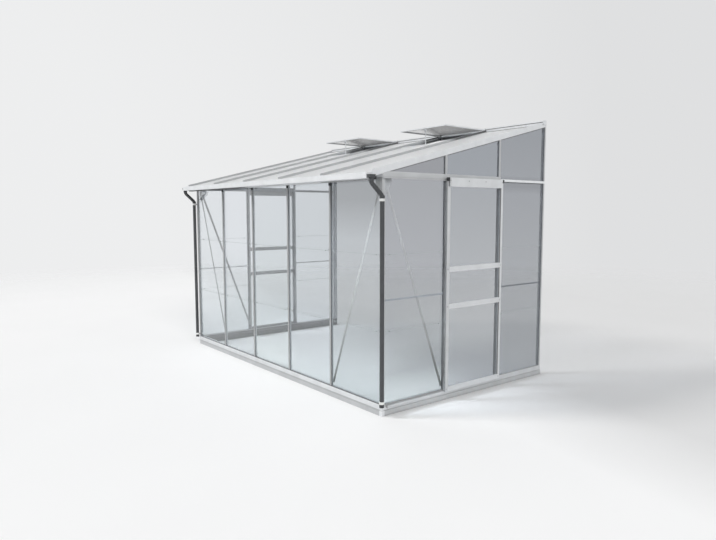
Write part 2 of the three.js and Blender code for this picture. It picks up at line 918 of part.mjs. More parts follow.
function frontGlass(bay) {
  const leftInset = neckHalf + fitGap;
  const cornerInset = flangeWall + fitGap * 2;
  const from = gridX(bay) + (bay === 0 ? cornerInset : leftInset);
  const to = gridX(bay + 1) - (bay === frontBays - 1 ? cornerInset : leftInset);
  const bottom = grooveFloor + fitGap;
  const sheet = prismY(rectangle(from, bottom, to, wallGlassTop), frontY - glassThickness, frontY);
  const strip = (a, b, z0, z1) =>
    prismY(rectangle(a, z0, b, z1), frontY - glassThickness - lapProud, frontY - glassThickness / 2);
  return join([sheet, ...lapStrips(from, to, strip)]);
}

const gableGlassTop = (y) => underside(y) + roofFlangeTop / 2;

function gableSheet(side, from, to, bottom) {
  const outline = [
    [from, bottom],
    [to, bottom],
    [to, gableGlassTop(to)],
    [from, gableGlassTop(from)],
  ];
  return gablePlate(side, outline, 0, glassThickness);
}

function gableGlass(side, from, to) {
  const bottom = grooveFloor + fitGap;
  const strip = (a, b, z0, z1) =>
    gablePlate(side, rectangle(a, z0, b, z1), glassThickness / 2, glassThickness + lapProud);
  return join([gableSheet(side, from, to, bottom), ...lapStrips(from, to, strip)]);
}

function roofGlass(bay) {
  const atNeck = neckHalf + fitGap;
  const edge = capOuter - endBarWall - fitGap;
  const from = bay === 0 ? -gableX - edge : gridX(bay) + atNeck;
  const to = bay === frontBays - 1 ? gableX + edge : gridX(bay + 1) - atNeck;
  const hasVent = ventBays.includes(bay);
  const start = hasVent ? lowerPaneStart : slopeTo(wallY - paneTopReach, glassRoofLow);
  const end = slopeTo(frontY - troughRear - roofGlassPast, glassRoofLow);
  return prismRoof(rectangle(from, glassRoofLow, to, glassRoofHigh), start, end);
}

// Roof vents, hinged on the ridge hook and held part open by a perforated stay

function ventAxes() {
  const angle = THREE.MathUtils.degToRad(ventRestDegrees) - roofAngle;
  const outward = new THREE.Vector3(0, -Math.cos(angle), Math.sin(angle));
  const origin = new THREE.Vector3(0, hingeY, hingeZ);
  return axesOf(origin, unitX.clone().negate(), outward);
}

const ventFrameAxes = ventAxes();

function ventPlate(x0, x1, u0, u1, n0, n1, hole) {
  const shape = shapeOf(rectangle(-x1, u0, -x0, u1));
  if (hole) shape.holes.push(pathOf(rectangle(-hole.x1, hole.u0, -hole.x0, hole.u1)));
  return prism(shape, ventFrameAxes, n0, n1);
}

function pivotPoint() {
  const point = ventFrameAxes.origin.clone();
  point.addScaledVector(ventFrameAxes.v, stayPivotReach);
  point.addScaledVector(ventFrameAxes.w, -stayPivotDrop);
  return point;
}

const ventLeft = (bay) => gridX(bay) + ventSideGap;
const ventRight = (bay) => gridX(bay + 1) - ventSideGap;
const ventMiddle = (bay) => (gridX(bay) + gridX(bay + 1)) / 2;

function ventFrame(bay) {
  const x0 = ventLeft(bay);
  const x1 = ventRight(bay);
  const inner = { x0: x0 + ventRail, x1: x1 - ventRail, u0: ventRailStart + ventRail, u1: ventLength - ventRail };
  const ring = ventPlate(x0, x1, ventRailStart, ventLength, -ventBelow, ventAbove, inner);
  const bead = cylinderAlong('x', beadRadius, x1 - x0 - fitGap * 2, new THREE.Vector3(ventMiddle(bay), hingeY, hingeZ));
  const neck = ventPlate(x0 + fitGap, x1 - fitGap, 0, ventRailStart + ventRail / 2, -beadNeck, beadNeck);
  const lugX = ventMiddle(bay) + stayThick / 2 + fitGap;
  const lugStart = stayPivotReach - lugHalf;
  const lug = ventPlate(lugX, lugX + lugWall, lugStart, lugEnd, -stayPivotDrop - lugHalf, ventBelow);
  const lugArm = ventPlate(lugX, lugX + lugWall, lugStart, ventLength - ventRail / 2, -ventBelow, ventBelow);
  const pivot = pivotPoint();
  const pinLength = lugWall + stayThick + fitGap * 4;
  const pinX = lugX + lugWall - pinLength / 2 - fitGap;
  const pin = cylinderAlong('x', pinRadius, pinLength, new THREE.Vector3(pinX, pivot.y, pivot.z));
  const grip = ventGrip + fitGap;
  const groove = ventPlate(inner.x0 - grip, inner.x1 + grip, inner.u0 - grip, inner.u1 + grip,
    ventGlassLow - fitGap, ventGlassLow + glassThickness + fitGap);
  return cut(join([ring, bead, neck, lug, lugArm, pin]), [groove]);
}

function ventGlass(bay) {
  const x0 = ventLeft(bay) + ventRail - ventGrip;
  const x1 = ventRight(bay) - ventRail + ventGrip;
  const u0 = ventRailStart + ventRail - ventGrip;
  const u1 = ventLength - ventRail + ventGrip;
  return ventPlate(x0, x1, u0, u1, ventGlassLow, ventGlassLow + glassThickness);
}

function ventStay(bay) {
  const pivot = pivotPoint();
  const half = stayWidth / 2;
  const middle = ventMiddle(bay);
  const bottom = pivot.z - stayLength + half;
  const outline = [
    ...arc(pivot.y, pivot.z, half, 0, 180),
    ...arc(pivot.y, bottom, half, 180, 360),
  ];
  const bar = solid(prismX(outline, middle - stayThick / 2, middle + stayThick / 2));
  const holes = [];
  const spacing = (pivot.z - bottom) / stayHoles;
  for (let i = 0; i <= stayHoles; i += 1) {
    const centre = new THREE.Vector3(middle, pivot.y, pivot.z - i * spacing);
    holes.push(cylinderAlong('x', stayHole, stayThick + overrun, centre, pipeSides));
  }
  return cut(bar, holes);
}

function ventSill(bay) {
  const low = glassRoofHigh + fitGap;
  const x0 = gridX(bay) + capHalf + fitGap;
  const x1 = gridX(bay + 1) - capHalf - fitGap;
  const outline = [
    [ventSillStart, ventSillLow],
    [ventSillStart + ventSillWall, ventSillLow],
    [ventSillStart + ventSillWall, low],
    [ventSillStart + ventSillFlange, low],
    [ventSillStart + ventSillFlange, low + ventSillWall],
    [ventSillStart + ventSillWall, low + ventSillWall],
    [ventSillStart + ventSillWall, ventSillTop],
    [ventSillStart, ventSillTop],
  ];
  const down = roofAxes.w;
  const axes = axesOf(roofOrigin, down, roofNormal);
  const sign = axes.w.x;
  return prism(outline, axes, Math.min(sign * x0, sign * x1), Math.max(sign * x0, sign * x1));
}

// Downpipe: cup on the gutter's end, swan neck, straight pipe

function pipeCorners(side) {
  const x = side * (gableX + pipeOutX);
  const outletY = frontY - outletReach;
  const pipeY = frontY - pipeOutY;
  return [
    new THREE.Vector3(x, outletY, cupBottom + overrun),
    new THREE.Vector3(x, outletY, pipeNeckTop),
    new THREE.Vector3(x, pipeY, pipeNeckBottom),
    new THREE.Vector3(x, pipeY, pipeFootZ),
  ];
}

// Sweeps a round section through points of the neck; the straight runs need no steps.
function downpipe(side) {
  const corners = pipeCorners(side);
  const trim = corners[1].distanceTo(corners[2]) * bendShare;
  const rings = [];
  const down = new THREE.Vector3(0, 0, -1);
  const slant = corners[2].clone().sub(corners[1]).normalize();
  const turn = (corner, dirIn, dirOut) => {
    const steps = arcSteps / 2;
    const before = corner.clone().addScaledVector(dirIn, -trim);
    const after = corner.clone().addScaledVector(dirOut, trim);
    const curve = new THREE.QuadraticBezierCurve3(before, corner, after);
    for (let i = 0; i <= steps; i += 1) {
      rings.push({ centre: curve.getPoint(i / steps), along: curve.getTangent(i / steps) });
    }
  };
  rings.push({ centre: corners[0], along: down });
  turn(corners[1], down, slant);
  turn(corners[2], slant, down);
  rings.push({ centre: corners[3], along: down });
  const pipe = sweepRound(rings, pipeRadius, pipeSides);
  const cupMiddleX = side * (gutterEnd + fitGap + cupWidth / 2);
  const cupMiddleY = frontY - outletReach;
  const cup = prismZ(roundedRectangle(cupMiddleX, cupMiddleY, cupWidth, cupLength, cupCorner), cupBottom, cupTop);
  return join([pipe, cup, spigot(side, spigotRadius, spigotLength)]);
}

function roundedRectangle(cx, cy, width, length, radius) {
  const x = width / 2 - radius;
  const y = length / 2 - radius;
  return [
    ...arc(cx + x, cy + y, radius, 0, 90),
    ...arc(cx - x, cy + y, radius, 90, 180),
    ...arc(cx - x, cy - y, radius, 180, 270),
    ...arc(cx + x, cy - y, radius, 270, 360),
  ];
}

// A closed tube of round section through rings that all lie in one upright plane.
function sweepRound(rings, radius, sides) {
  const positions = [];
  const index = [];
  rings.forEach(({ centre, along }) => {
    const across = new THREE.Vector3().crossVectors(along, unitX).normalize();
    for (let s = 0; s < sides; s += 1) {
      const angle = (s / sides) * Math.PI * 2;
      const point = centre.clone();
      point.addScaledVector(unitX, radius * Math.cos(angle));
      point.addScaledVector(across, radius * Math.sin(angle));
      positions.push(point.x, point.y, point.z);
    }
  });
  for (let r = 0; r < rings.length - 1; r += 1) {
    for (let s = 0; s < sides; s += 1) {
      const next = (s + 1) % sides;
      const a = r * sides + s;
      const b = r * sides + next;
      index.push(a, b, a + sides, b, b + sides, a + sides);
    }
  }
  const last = (rings.length - 1) * sides;
  for (let s = 1; s < sides - 1; s += 1) {
    index.push(0, s + 1, s);
    index.push(last, last + s, last + s + 1);
  }
  const geometry = new THREE.BufferGeometry();
  geometry.setAttribute('position', new THREE.Float32BufferAttribute(positions, 3));
  geometry.setIndex(index);
  return geometry;
}

// Assembly

const sides = [{ side: -1, label: 'left' }, { side: 1, label: 'right' }];

addPiece('base_front', baseFront(), paleAluminium);
sides.forEach(({ side, label }) => {
  const frontGap = flangeWall + fitGap * 2;
  const atNeck = neckHalf + fitGap;
  addPiece(`base_${label}`, baseGable(side), paleAluminium);
  addPiece(`corner_post_${label}`, cornerPost(side), aluminium);
  addPiece(`wall_post_${label}`, wallPost(side), aluminium);
  addPiece(`door_post_${label}_front`, doorPost(side, doorPostY[0]), aluminium);
  addPiece(`door_post_${label}_rear`, doorPost(side, doorPostY[1]), aluminium);
  addPiece(`mid_girt_${label}`, frontMidGirt(side), aluminium);
  addPiece(`corner_brace_${label}`, cornerBrace(side), aluminium);
  addPiece(`door_track_${label}`, doorTrack(side), aluminium);
  addPiece(`door_frame_${label}`, doorFrame(side), paleAluminium);
  addPiece(`door_glass_${label}`, doorGlass(side), glass);
  addPiece(`gable_glass_${label}_front`, gableGlass(side, frontY + frontGap, doorPostY[0] - atNeck), glass);
  addPiece(`gable_glass_${label}_over_door`,
    gableSheet(side, doorPostY[0] + atNeck, doorPostY[1] - atNeck, overDoorLedge + trackWall + fitGap), glass);
  addPiece(`gable_glass_${label}_rear`,
    gableGlass(side, doorPostY[1] + atNeck, wallY - wallPostSolid - fitGap), glass);
  addPiece(`downpipe_${label}`, downpipe(side), blackPlastic);
  addPiece(`roof_bar_end_${label}`, endRoofBar(side), paleAluminium);
});
for (let index = 1; index < frontBays; index += 1) {
  addPiece(`front_bar_${index}`, frontBar(index), aluminium);
  addPiece(`roof_bar_${index}`, innerRoofBar(index), aluminium);
}
addPiece('gutter', gutter(), paleAluminium);
addPiece('ridge', ridge(), paleAluminium);
for (let bay = 0; bay < frontBays; bay += 1) {
  addPiece(`front_glass_${bay + 1}`, frontGlass(bay), glass);
  addPiece(`roof_glass_${bay + 1}`, roofGlass(bay), glass);
}
ventBays.forEach((bay, i) => {
  const { label } = sides[i];
  addPiece(`vent_frame_${label}`, ventFrame(bay), aluminium);
  addPiece(`vent_glass_${label}`, ventGlass(bay), glass);
  addPiece(`vent_stay_${label}`, ventStay(bay), aluminium);
  addPiece(`vent_sill_${label}`, ventSill(bay), aluminium);
});

export default greenhouse;
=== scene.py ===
"""Lean-to greenhouse: finishes, small parts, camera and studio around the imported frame.

Metres, +Z up, +Y towards the wall that the greenhouse leans on, +X to the right.
"""

import math

import bmesh
import bpy
from mathutils import Matrix, Vector


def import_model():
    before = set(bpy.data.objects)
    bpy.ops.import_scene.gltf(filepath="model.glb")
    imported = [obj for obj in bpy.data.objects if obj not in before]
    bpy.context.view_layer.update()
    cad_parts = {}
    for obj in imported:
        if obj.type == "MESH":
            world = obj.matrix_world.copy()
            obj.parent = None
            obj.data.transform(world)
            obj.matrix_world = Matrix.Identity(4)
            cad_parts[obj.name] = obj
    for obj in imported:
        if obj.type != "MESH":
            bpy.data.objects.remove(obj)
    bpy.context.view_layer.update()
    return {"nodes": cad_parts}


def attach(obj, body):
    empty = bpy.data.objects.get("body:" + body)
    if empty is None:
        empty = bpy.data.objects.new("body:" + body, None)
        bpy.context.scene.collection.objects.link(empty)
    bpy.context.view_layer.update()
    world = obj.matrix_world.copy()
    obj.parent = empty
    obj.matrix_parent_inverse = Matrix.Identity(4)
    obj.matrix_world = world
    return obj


# Camera, fitted to the photograph
CAMERA_AT = (4.78516, -3.60237, 1.45636)
CAMERA_YAW = 51.868
CAMERA_PITCH = -5.489
CAMERA_ROLL = -0.057
LENS = 30.695
SENSOR = 36.0
SEES = (0.05, 200.0)

# Layout of the frame, as in the CAD model
BAY = 0.62
BAYS = 5
GABLE_X = BAY * BAYS / 2
WALL_Y = 1.004
FRONT_Y = WALL_Y - 1.85
EAVES_Z = 1.72
ROOF_RISE = 0.25
ROOF_ANGLE = math.atan(ROOF_RISE)
DOOR_POSTS_Y = (FRONT_Y + BAY, FRONT_Y + 2 * BAY)
FIXED_BAYS_Y = [(FRONT_Y, DOOR_POSTS_Y[0]), (DOOR_POSTS_Y[1], WALL_Y)]
DOOR_START = DOOR_POSTS_Y[0] - 0.015
DOOR_END = DOOR_POSTS_Y[1] + 0.015
HEAD_BOX_INSET = 0.019
GLASS = 0.003
CAP_OUT = 0.008
CAP_HALF = 0.01
HEAD_IN = 0.018
SILL_Z = 0.081
SILL_OUT = 0.012
BASE_OUT = 0.016
BASE_STEP_Z = 0.04
BASE_DEPTH = 0.03
TRACK_LOW = 1.684
TRACK_TOP = 1.733
FLANGE_LOW = 1.692
REAR_GIRT_Z = (1.689, 1.713)
HEAD_BOX_LOW = 1.64
HEAD_BOX_TOP = 1.708
HEAD_BOX_OUT = 0.046
DOOR_OUT = 0.034
DOOR_IN = 0.016
DOOR_BOTTOM = 0.068
STILE = 0.035
RAIL_OUT = 0.037
RAILS_Z = (0.712, 0.998)
RAIL_HEIGHT = 0.04
LAPS_Z = (0.614, 1.16)
GIRT_Z = 0.83
ROOF_GLASS_TOP = 0.0253
RIDGE_TOP = 2.238
RIDGE_PAST = 0.01
COVER_FRONT = 0.046
COVER_DROP = 0.039
COVER_FALL = 0.005
COVER_PAST = 0.008
PIPE_X = GABLE_X + 0.029
PIPE_Y = FRONT_Y - 0.028
PIPE_FOOT_Z = 0.073
NECK_LOW_Z = 1.562
CLIPS_Z = (1.534, 0.107)
GUTTER_END_X = GABLE_X + 0.012
OUTLET_Y = FRONT_Y - 0.125
HINGE_Y = 0.99
HINGE_Z = 2.211985
VENT_TILT = math.radians(14.6) - ROOF_ANGLE
VENT_SIDE_GAP = 0.0125
VENT_LENGTH = 0.568
VENT_RAIL = 0.018
VENT_TOP = 0.01

SIDES = {"left": -1, "right": 1}
VENT_BAYS = {-1: 1, 1: 3}
UP = Vector((0, 0, 1))

# Gap between a small part and the face it lies on
SKIN = 0.0005
HAIR = 0.0001


def underside(y):
    """Height of the underside of the roof bars at a given y."""
    return EAVES_Z + ROOF_RISE * (y - FRONT_Y)


def grid_x(index):
    return -GABLE_X + index * BAY


def gable_at(side, y, out, z):
    """Point on a gable, out metres outside the glass plane."""
    return Vector((side * (GABLE_X + out), y, z))


def roof_at(x, down, lift):
    """Point over the roof: down the slope from the wall, lift above the bars' underside."""
    y = WALL_Y - down * math.cos(ROOF_ANGLE) - lift * math.sin(ROOF_ANGLE)
    z = underside(WALL_Y) - down * math.sin(ROOF_ANGLE) + lift * math.cos(ROOF_ANGLE)
    return Vector((x, y, z))


def vent_at(x, out, lift):
    """Point on an open vent: out from the hinge along the pane, lift above the pane."""
    y = HINGE_Y - out * math.cos(VENT_TILT) + lift * math.sin(VENT_TILT)
    z = HINGE_Z + out * math.sin(VENT_TILT) + lift * math.cos(VENT_TILT)
    return Vector((x, y, z))


# Node helpers


def new_material(name):
    material = bpy.data.materials.new(name)
    material.use_nodes = True
    tree = material.node_tree
    return material, tree, tree.nodes["Principled BSDF"]


def fill(tree, node, values=None, feeds=None):
    """Sets fixed values on a node's inputs, and links the outputs in feeds to others."""
    for key, value in (values or {}).items():
        node.inputs[key].default_value = value
    for key, output in (feeds or {}).items():
        tree.links.new(output, node.inputs[key])
    return node


def add_node(tree, kind, values=None, feeds=None, **settings):
    """A shader node with its settings, fixed values and links."""
    node = tree.nodes.new(f"ShaderNode{kind}")
    for key, setting in settings.items():
        setattr(node, key, setting)
    return fill(tree, node, values, feeds)


def coordinates(tree, kind):
    return add_node(tree, "TexCoord").outputs[kind]


def stretched_noise(tree, scale, stretch, detail=4.0):
    """Noise in object space, drawn out along the axes where stretch is small."""
    feeds = {"Vector": coordinates(tree, "Object")}
    place = add_node(tree, "Mapping", {"Scale": stretch}, feeds).outputs["Vector"]
    values = {"Scale": scale, "Detail": detail}
    return add_node(tree, "TexNoise", values, {"Vector": place}).outputs["Fac"]


def ranged(tree, value, low, high, start=0.0, end=1.0, **settings):
    """A value mapped from the span start to end onto the span low to high."""
    spans = {"From Min": start, "From Max": end, "To Min": low, "To Max": high}
    return add_node(tree, "MapRange", spans, {"Value": value}, **settings).outputs["Result"]


def ramp(tree, value, stops):
    """Colour that runs through (place, colour) stops as the value goes from 0 to 1."""
    node = add_node(tree, "ValToRGB", feeds={"Fac": value})
    elements = node.color_ramp.elements
    for _ in stops[2:]:
        elements.new(0.5)
    for element, (place, colour) in zip(elements, stops):
        element.position = place
        element.color = (*colour, 1.0)
    return node.outputs["Color"]


def two_tone(tree, value, dark, light, start=0.3, end=0.7):
    """Colour that runs from dark to light as the value goes from start to end."""
    return ramp(tree, value, [(start, dark), (end, light)])


def blended(tree, mask, first, second):
    """First colour where the mask is 0, second where it is 1."""
    feeds = {"Factor": mask, "A": first, "B": second}
    return add_node(tree, "Mix", feeds=feeds, data_type="RGBA").outputs["Result"]


def shaded(tree, mask, colour, share):
    """The colour, multiplied by share where the mask is 1."""
    values = {"B": (share, share, share, 1.0)}
    feeds = {"Factor": mask, "A": colour}
    mix = add_node(tree, "Mix", values, feeds, data_type="RGBA", blend_type="MULTIPLY")
    return mix.outputs["Result"]


def combined(tree, operation, first, second):
    return add_node(tree, "Math", feeds={0: first, 1: second}, operation=operation).outputs[0]


def measured(tree, kind, direction):
    """How far the object's place or normal goes along a direction."""
    feeds = {0: coordinates(tree, kind)}
    dot = add_node(tree, "VectorMath", {1: direction}, feeds, operation="DOT_PRODUCT")
    return dot.outputs["Value"]


def facing(tree, direction):
    """1 on faces that look along a direction of the object, 0 on the others."""
    return ranged(tree, measured(tree, "Normal", direction), 0.0, 1.0, *FACING_SPAN)


def along(tree, axis, start, end):
    """0 to 1 as the object's place on x, y, z or a direction goes from start to end."""
    if axis in DRAWN_ALONG:
        feeds = {"Vector": coordinates(tree, "Object")}
        place = add_node(tree, "SeparateXYZ", feeds=feeds).outputs[axis.upper()]
    else:
        place = measured(tree, "Object", axis)
    return ranged(tree, place, 0.0, 1.0, start, end)


def run_of_tones(tree, axis, stops):
    """Colour that runs through (place on the axis, colour) stops, from low to high."""
    start, end = stops[0][0], stops[-1][0]
    shares = [((place - start) / (end - start), colour) for place, colour in stops]
    return ramp(tree, along(tree, axis, start, end), shares)


def band(tree, axis, low, high, edge):
    """1 between two places on an axis, 0 outside them, with soft edges."""
    rise = along(tree, axis, low - edge, low)
    fall = along(tree, axis, high + edge, high)
    return combined(tree, "MULTIPLY", rise, fall)


def add_bump(tree, shader, height, strength, distance):
    values = {"Strength": strength, "Distance": distance}
    bump = add_node(tree, "Bump", values, {"Height": height})
    tree.links.new(bump.outputs["Normal"], shader.inputs["Normal"])


# Finishes

FACING_SPAN = (0.3, 0.7)
EVEN = (1.0, 1.0, 1.0)
DRAWN_ALONG = {"x": (0.02, 1.0, 1.0), "y": (1.0, 0.02, 1.0), "z": (1.0, 1.0, 0.02)}
DRAW_LINES = 900.0
DRAW_LINE_BUMP = (0.12, 0.0004)
METAL_GLOSS_SPAN = (-0.07, 0.09)
CLOUDS = 9.0
CLOUD_SHARES = (0.94, 1.05)
RIPPLES = 2.2
RIPPLE_STRETCH = (1.0, 1.0, 0.35)
RIPPLE_BUMP = (0.02, 0.001)
FINE_GRAIN = 420.0
BROAD_GRAIN = 14.0
BROAD_SHARES = (0.85, 1.15)
PLASTIC_GLOSS_SPAN = (-0.08, 0.1)
GRAIN_DEPTH = 0.0003


def grey(level, cool=0.02):
    """A neutral colour that leans a little towards blue."""
    return (level * (1.0 - cool), level, level * (1.0 + cool))


def clouded(tree, colour):
    dark, light = (tuple(min(c * share, 1.0) for c in colour) for share in CLOUD_SHARES)
    return two_tone(tree, stretched_noise(tree, CLOUDS, EVEN), dark, light)


def add_draw_lines(tree, shader, colour, axis, metallic, rough=0.42):
    """Gives the metal its colour and the fine lines of the die along one axis."""
    lines = stretched_noise(tree, DRAW_LINES, DRAWN_ALONG[axis])
    gloss = ranged(tree, lines, *(rough + change for change in METAL_GLOSS_SPAN))
    fill(tree, shader, {"Metallic": metallic}, {"Base Color": colour, "Roughness": gloss})
    add_bump(tree, shader, lines, *DRAW_LINE_BUMP)


def mill_aluminium(
    name, level, axis, metallic=0.45, rough=0.42, sides=(), light_and_shade_zones=(), shade_bands=(), cool=0.02, painted_glow=0.0
):
    """Extruded aluminium with fine draw lines along its axis and faint cloudy oxide.

    sides gives painted light and shade: the level of the faces that look along a direction of their
    own.
    The shade bands give painted shade lines: axis, low, high, share of the light and width of the edge.
    The light and shade zones give the same after the direction of the faces that have them.
    The glow is painted light, a part that glows though it is no lamp, in place of the light that
    polished metal catches behind dark glass.
    """
    material, tree, shader = new_material(name)
    colour = clouded(tree, grey(level, cool))
    for direction, side_level in sides:
        side_colour = clouded(tree, grey(side_level))
        colour = blended(tree, facing(tree, direction), colour, side_colour)
    for direction, across, low, high, share, edge in light_and_shade_zones:
        inside = band(tree, across, low, high, edge)
        mask = combined(tree, "MULTIPLY", facing(tree, direction), inside)
        colour = shaded(tree, mask, colour, share)
    for across, low, high, share, edge in shade_bands:
        colour = shaded(tree, band(tree, across, low, high, edge), colour, share)
    add_draw_lines(tree, shader, colour, axis, metallic, rough)
    if painted_glow:
        fill(tree, shader, {"Emission Strength": painted_glow}, {"Emission Color": colour})
    return material


def pane(name, stops, rough=0.0, ior=1.5, axis="z", clearness=1.0, lets_in=0.9):
    """Glass with a faint rolled ripple, tinted along an axis with painted light and shade, clear or
    milky.

    lets_in is the share of the lamps' light that shines through it.
    """
    material, tree, shader = new_material(name)
    values = {"Transmission Weight": clearness, "IOR": ior, "Roughness": rough}
    fill(tree, shader, values, {"Base Color": run_of_tones(tree, axis, stops)})
    add_bump(tree, shader, stretched_noise(tree, RIPPLES, RIPPLE_STRETCH, 1.0), *RIPPLE_BUMP)
    clear = add_node(tree, "BsdfTransparent", {"Color": (*grey(lets_in), 1.0)})
    shadow_ray = add_node(tree, "LightPath").outputs["Is Shadow Ray"]
    feeds = {0: shadow_ray, 1: shader.outputs["BSDF"], 2: clear.outputs["BSDF"]}
    mix = add_node(tree, "MixShader", feeds=feeds)
    tree.links.new(mix.outputs["Shader"], tree.nodes["Material Output"].inputs["Surface"])
    return material


def plastic(name, colour, rough, grain):
    """Moulded plastic with a fine grain and slightly uneven gloss."""
    material, tree, shader = new_material(name)
    fine = stretched_noise(tree, FINE_GRAIN, EVEN)
    broad = stretched_noise(tree, BROAD_GRAIN, EVEN)
    dark, light = (tuple(c * share for c in colour) for share in BROAD_SHARES)
    gloss = ranged(tree, broad, *(rough + change for change in PLASTIC_GLOSS_SPAN))
    fill(tree, shader, feeds={"Base Color": two_tone(tree, broad, dark, light), "Roughness": gloss})
    add_bump(tree, shader, fine, grain, GRAIN_DEPTH)
    return material


FRONT, BACK, LEFT, RIGHT, DOWN = (0, -1, 0), (0, 1, 0), (-1, 0, 0), (1, 0, 0), (0, 0, -1)

# Levels of the metals, from 0 for black to 1 for white
# Apart from PALE, ROOF and STEEL, these are lit and shaded copies of one aluminium,
# set per node and per direction of the faces: painted light and shade.
PALE = 0.78
ROOF = 0.8
ROOF_BAR_SIDE = 0.5
DOOR = 0.72
DOOR_EDGE = 0.9
BASE_FRONT = 0.72
BASE_SIDE = 0.64
CAP = 0.4
FLANK = 0.7
POST_CAP = 0.52
POST_FLANK = 0.42
FAR_POST = 0.45
# A painted highlight on the front face of the far wall post
FAR_WALL_POST = 1.0
INNER = 0.27
FAR_DOOR = 0.33
BASE_INNER = 0.27
# Ribs painted near black: painted shade along the ribbed face
RIB = 0.12
BRACE = 0.95
FAR_BRACE = 0.6
GIRT = 0.5
NEAR_GIRT = 0.66
TRACK = 0.56
STEEL = 0.42

# Painted shade lines on a profile: axis, low, high, share of the light, width of the edge
FRONT_BASE_BANDS = [("z", 0.0, 0.031, 0.73, 0.001), ("z", 0.032, 0.043, 0.66, 0.001)]
SIDE_BASE_BANDS = [
    ("z", 0.001, 0.037, 0.88, 0.001),
    ("z", 0.038, 0.042, 0.74, 0.001),
    ("z", -0.01, 0.009, 0.82, 0.003),
]
TRACK_BANDS = [("z", 1.692, 1.6965, 0.93, 0.0008)]
POST_BANDS = [("z", -1.0, TRACK_LOW, 0.92, 0.002)]
BRACE_BANDS = [("z", -1.0, 0.15, 0.26, 1.2)]
FAR_BRACE_BANDS = [("z", -1.0, 1.57, 0.55, 0.03)]
STILE_BANDS = [("y", DOOR_START - 0.01, DOOR_START + 0.003, 0.42, 0.002)]

# Painted light and shade on faces of one direction, which comes first; a share above 1 paints light
STILE_ZONES = [
    (FRONT, "y", DOOR_END - STILE - 0.003, DOOR_END - STILE + 0.003, 0.5, 0.001),
    (RIGHT, "y", DOOR_START + 0.003, DOOR_START + STILE - 0.001, 0.88, 0.001),
]
FAR_POST_ZONES = [(direction, "z", 1.765, 1.79, 0.4, 0.003) for direction in (FRONT, RIGHT)]
WALL_POST_ZONES = [
    (FRONT, "z", 1.812, 1.84, 0.35, 0.003),
    (RIGHT, "z", 1.812, 1.84, 0.35, 0.003),
    (FRONT, "x", -1.536, -1.5, 0.5, 0.003),
]
VENT_SIDE_ZONES = [(RIGHT, "y", 0.56, HINGE_Y - 0.03, 0.25, 0.1)]
VENT_REAR_ZONES = [(RIGHT, "y", 0.8, HINGE_Y + 0.01, 0.2, 0.12)]
REAR_GIRT_ZONES = [(RIGHT, "y", DOOR_POSTS_Y[1] + 0.012, WALL_Y, 1.5, 0.002)]

# Levels of faces by their direction: painted light and shade
ROOF_SIDES = [(RIGHT, ROOF_BAR_SIDE)]
NEAR_SIDES = [(RIGHT, POST_CAP), (LEFT, INNER)]
FAR_SIDES = [(LEFT, POST_CAP), (FRONT, FAR_WALL_POST)]
BASE_LOOK = {"shade_bands": SIDE_BASE_BANDS}
DOOR_LOOK = {"light_and_shade_zones": STILE_ZONES, "shade_bands": STILE_BANDS}
ROOF_LOOK = {"metallic": 0.2, "sides": ROOF_SIDES}
# The near brace is painted light: bright, glowing though it is no lamp, with painted shade low down
BRACE_LOOK = {"metallic": 0.05, "shade_bands": BRACE_BANDS, "cool": -0.04, "painted_glow": 0.22}

# Metals, most named after their node: name, level, axis of the draw lines, and the rest
METALS = [
    ("pale_aluminium_x", PALE, "x", {}),
    ("pale_aluminium_y", PALE, "y", {}),
    ("base_front", BASE_FRONT, "x", {"sides": [(BACK, BASE_INNER)], "shade_bands": FRONT_BASE_BANDS}),
    ("base_left", BASE_SIDE, "y", {"sides": [(RIGHT, BASE_INNER)], **BASE_LOOK}),
    ("base_right", BASE_SIDE, "y", {"sides": [(LEFT, BASE_INNER)], **BASE_LOOK}),
    ("bar_aluminium", FLANK, "z", {"sides": [(FRONT, CAP)]}),
    ("corner_brace_right", BRACE, "z", BRACE_LOOK),
    ("corner_brace_left", FAR_BRACE, "z", {"shade_bands": FAR_BRACE_BANDS}),
    ("mid_girt_left", GIRT, "y", {}),
    ("mid_girt_right", NEAR_GIRT, "y", {"metallic": 0.05}),
    ("door_track_left", TRACK, "y", {"sides": [(RIGHT, INNER)]}),
    ("door_track_right", TRACK, "y", {"metallic": 0.3, "shade_bands": TRACK_BANDS, "light_and_shade_zones": REAR_GIRT_ZONES}),
    ("roof_aluminium", ROOF, "y", ROOF_LOOK),
    ("roof_bar_end_left", PALE, "y", {"sides": ROOF_SIDES}),
    ("vent_rear_aluminium", ROOF, "y", {"light_and_shade_zones": VENT_REAR_ZONES, **ROOF_LOOK}),
    ("vent_side_aluminium", ROOF, "y", {"light_and_shade_zones": VENT_SIDE_ZONES, **ROOF_LOOK}),
    ("rib_aluminium", RIB, "x", {}),
    ("bolt_steel", STEEL, "x", {"metallic": 0.9, "rough": 0.3}),
    ("corner_post_left", CAP, "z", {"sides": [(LEFT, POST_CAP), (RIGHT, FAR_POST)]}),
    ("corner_post_right", CAP, "z", {"sides": NEAR_SIDES}),
    ("door_post_left", FAR_POST, "z", {"sides": [(LEFT, POST_CAP)], "light_and_shade_zones": FAR_POST_ZONES}),
    ("door_post_right", POST_FLANK, "z", {"sides": NEAR_SIDES, "shade_bands": POST_BANDS}),
    ("wall_post_left", FAR_POST, "z", {"metallic": 0.1, "sides": FAR_SIDES, "light_and_shade_zones": WALL_POST_ZONES}),
    ("wall_post_right", POST_FLANK, "z", {"sides": NEAR_SIDES}),
    ("door_frame_left", DOOR, "z", {"sides": [(RIGHT, FAR_DOOR), (FRONT, DOOR_EDGE)], **DOOR_LOOK}),
    ("door_frame_right", DOOR, "z", {"sides": [(LEFT, INNER), (FRONT, DOOR_EDGE)], **DOOR_LOOK}),
]

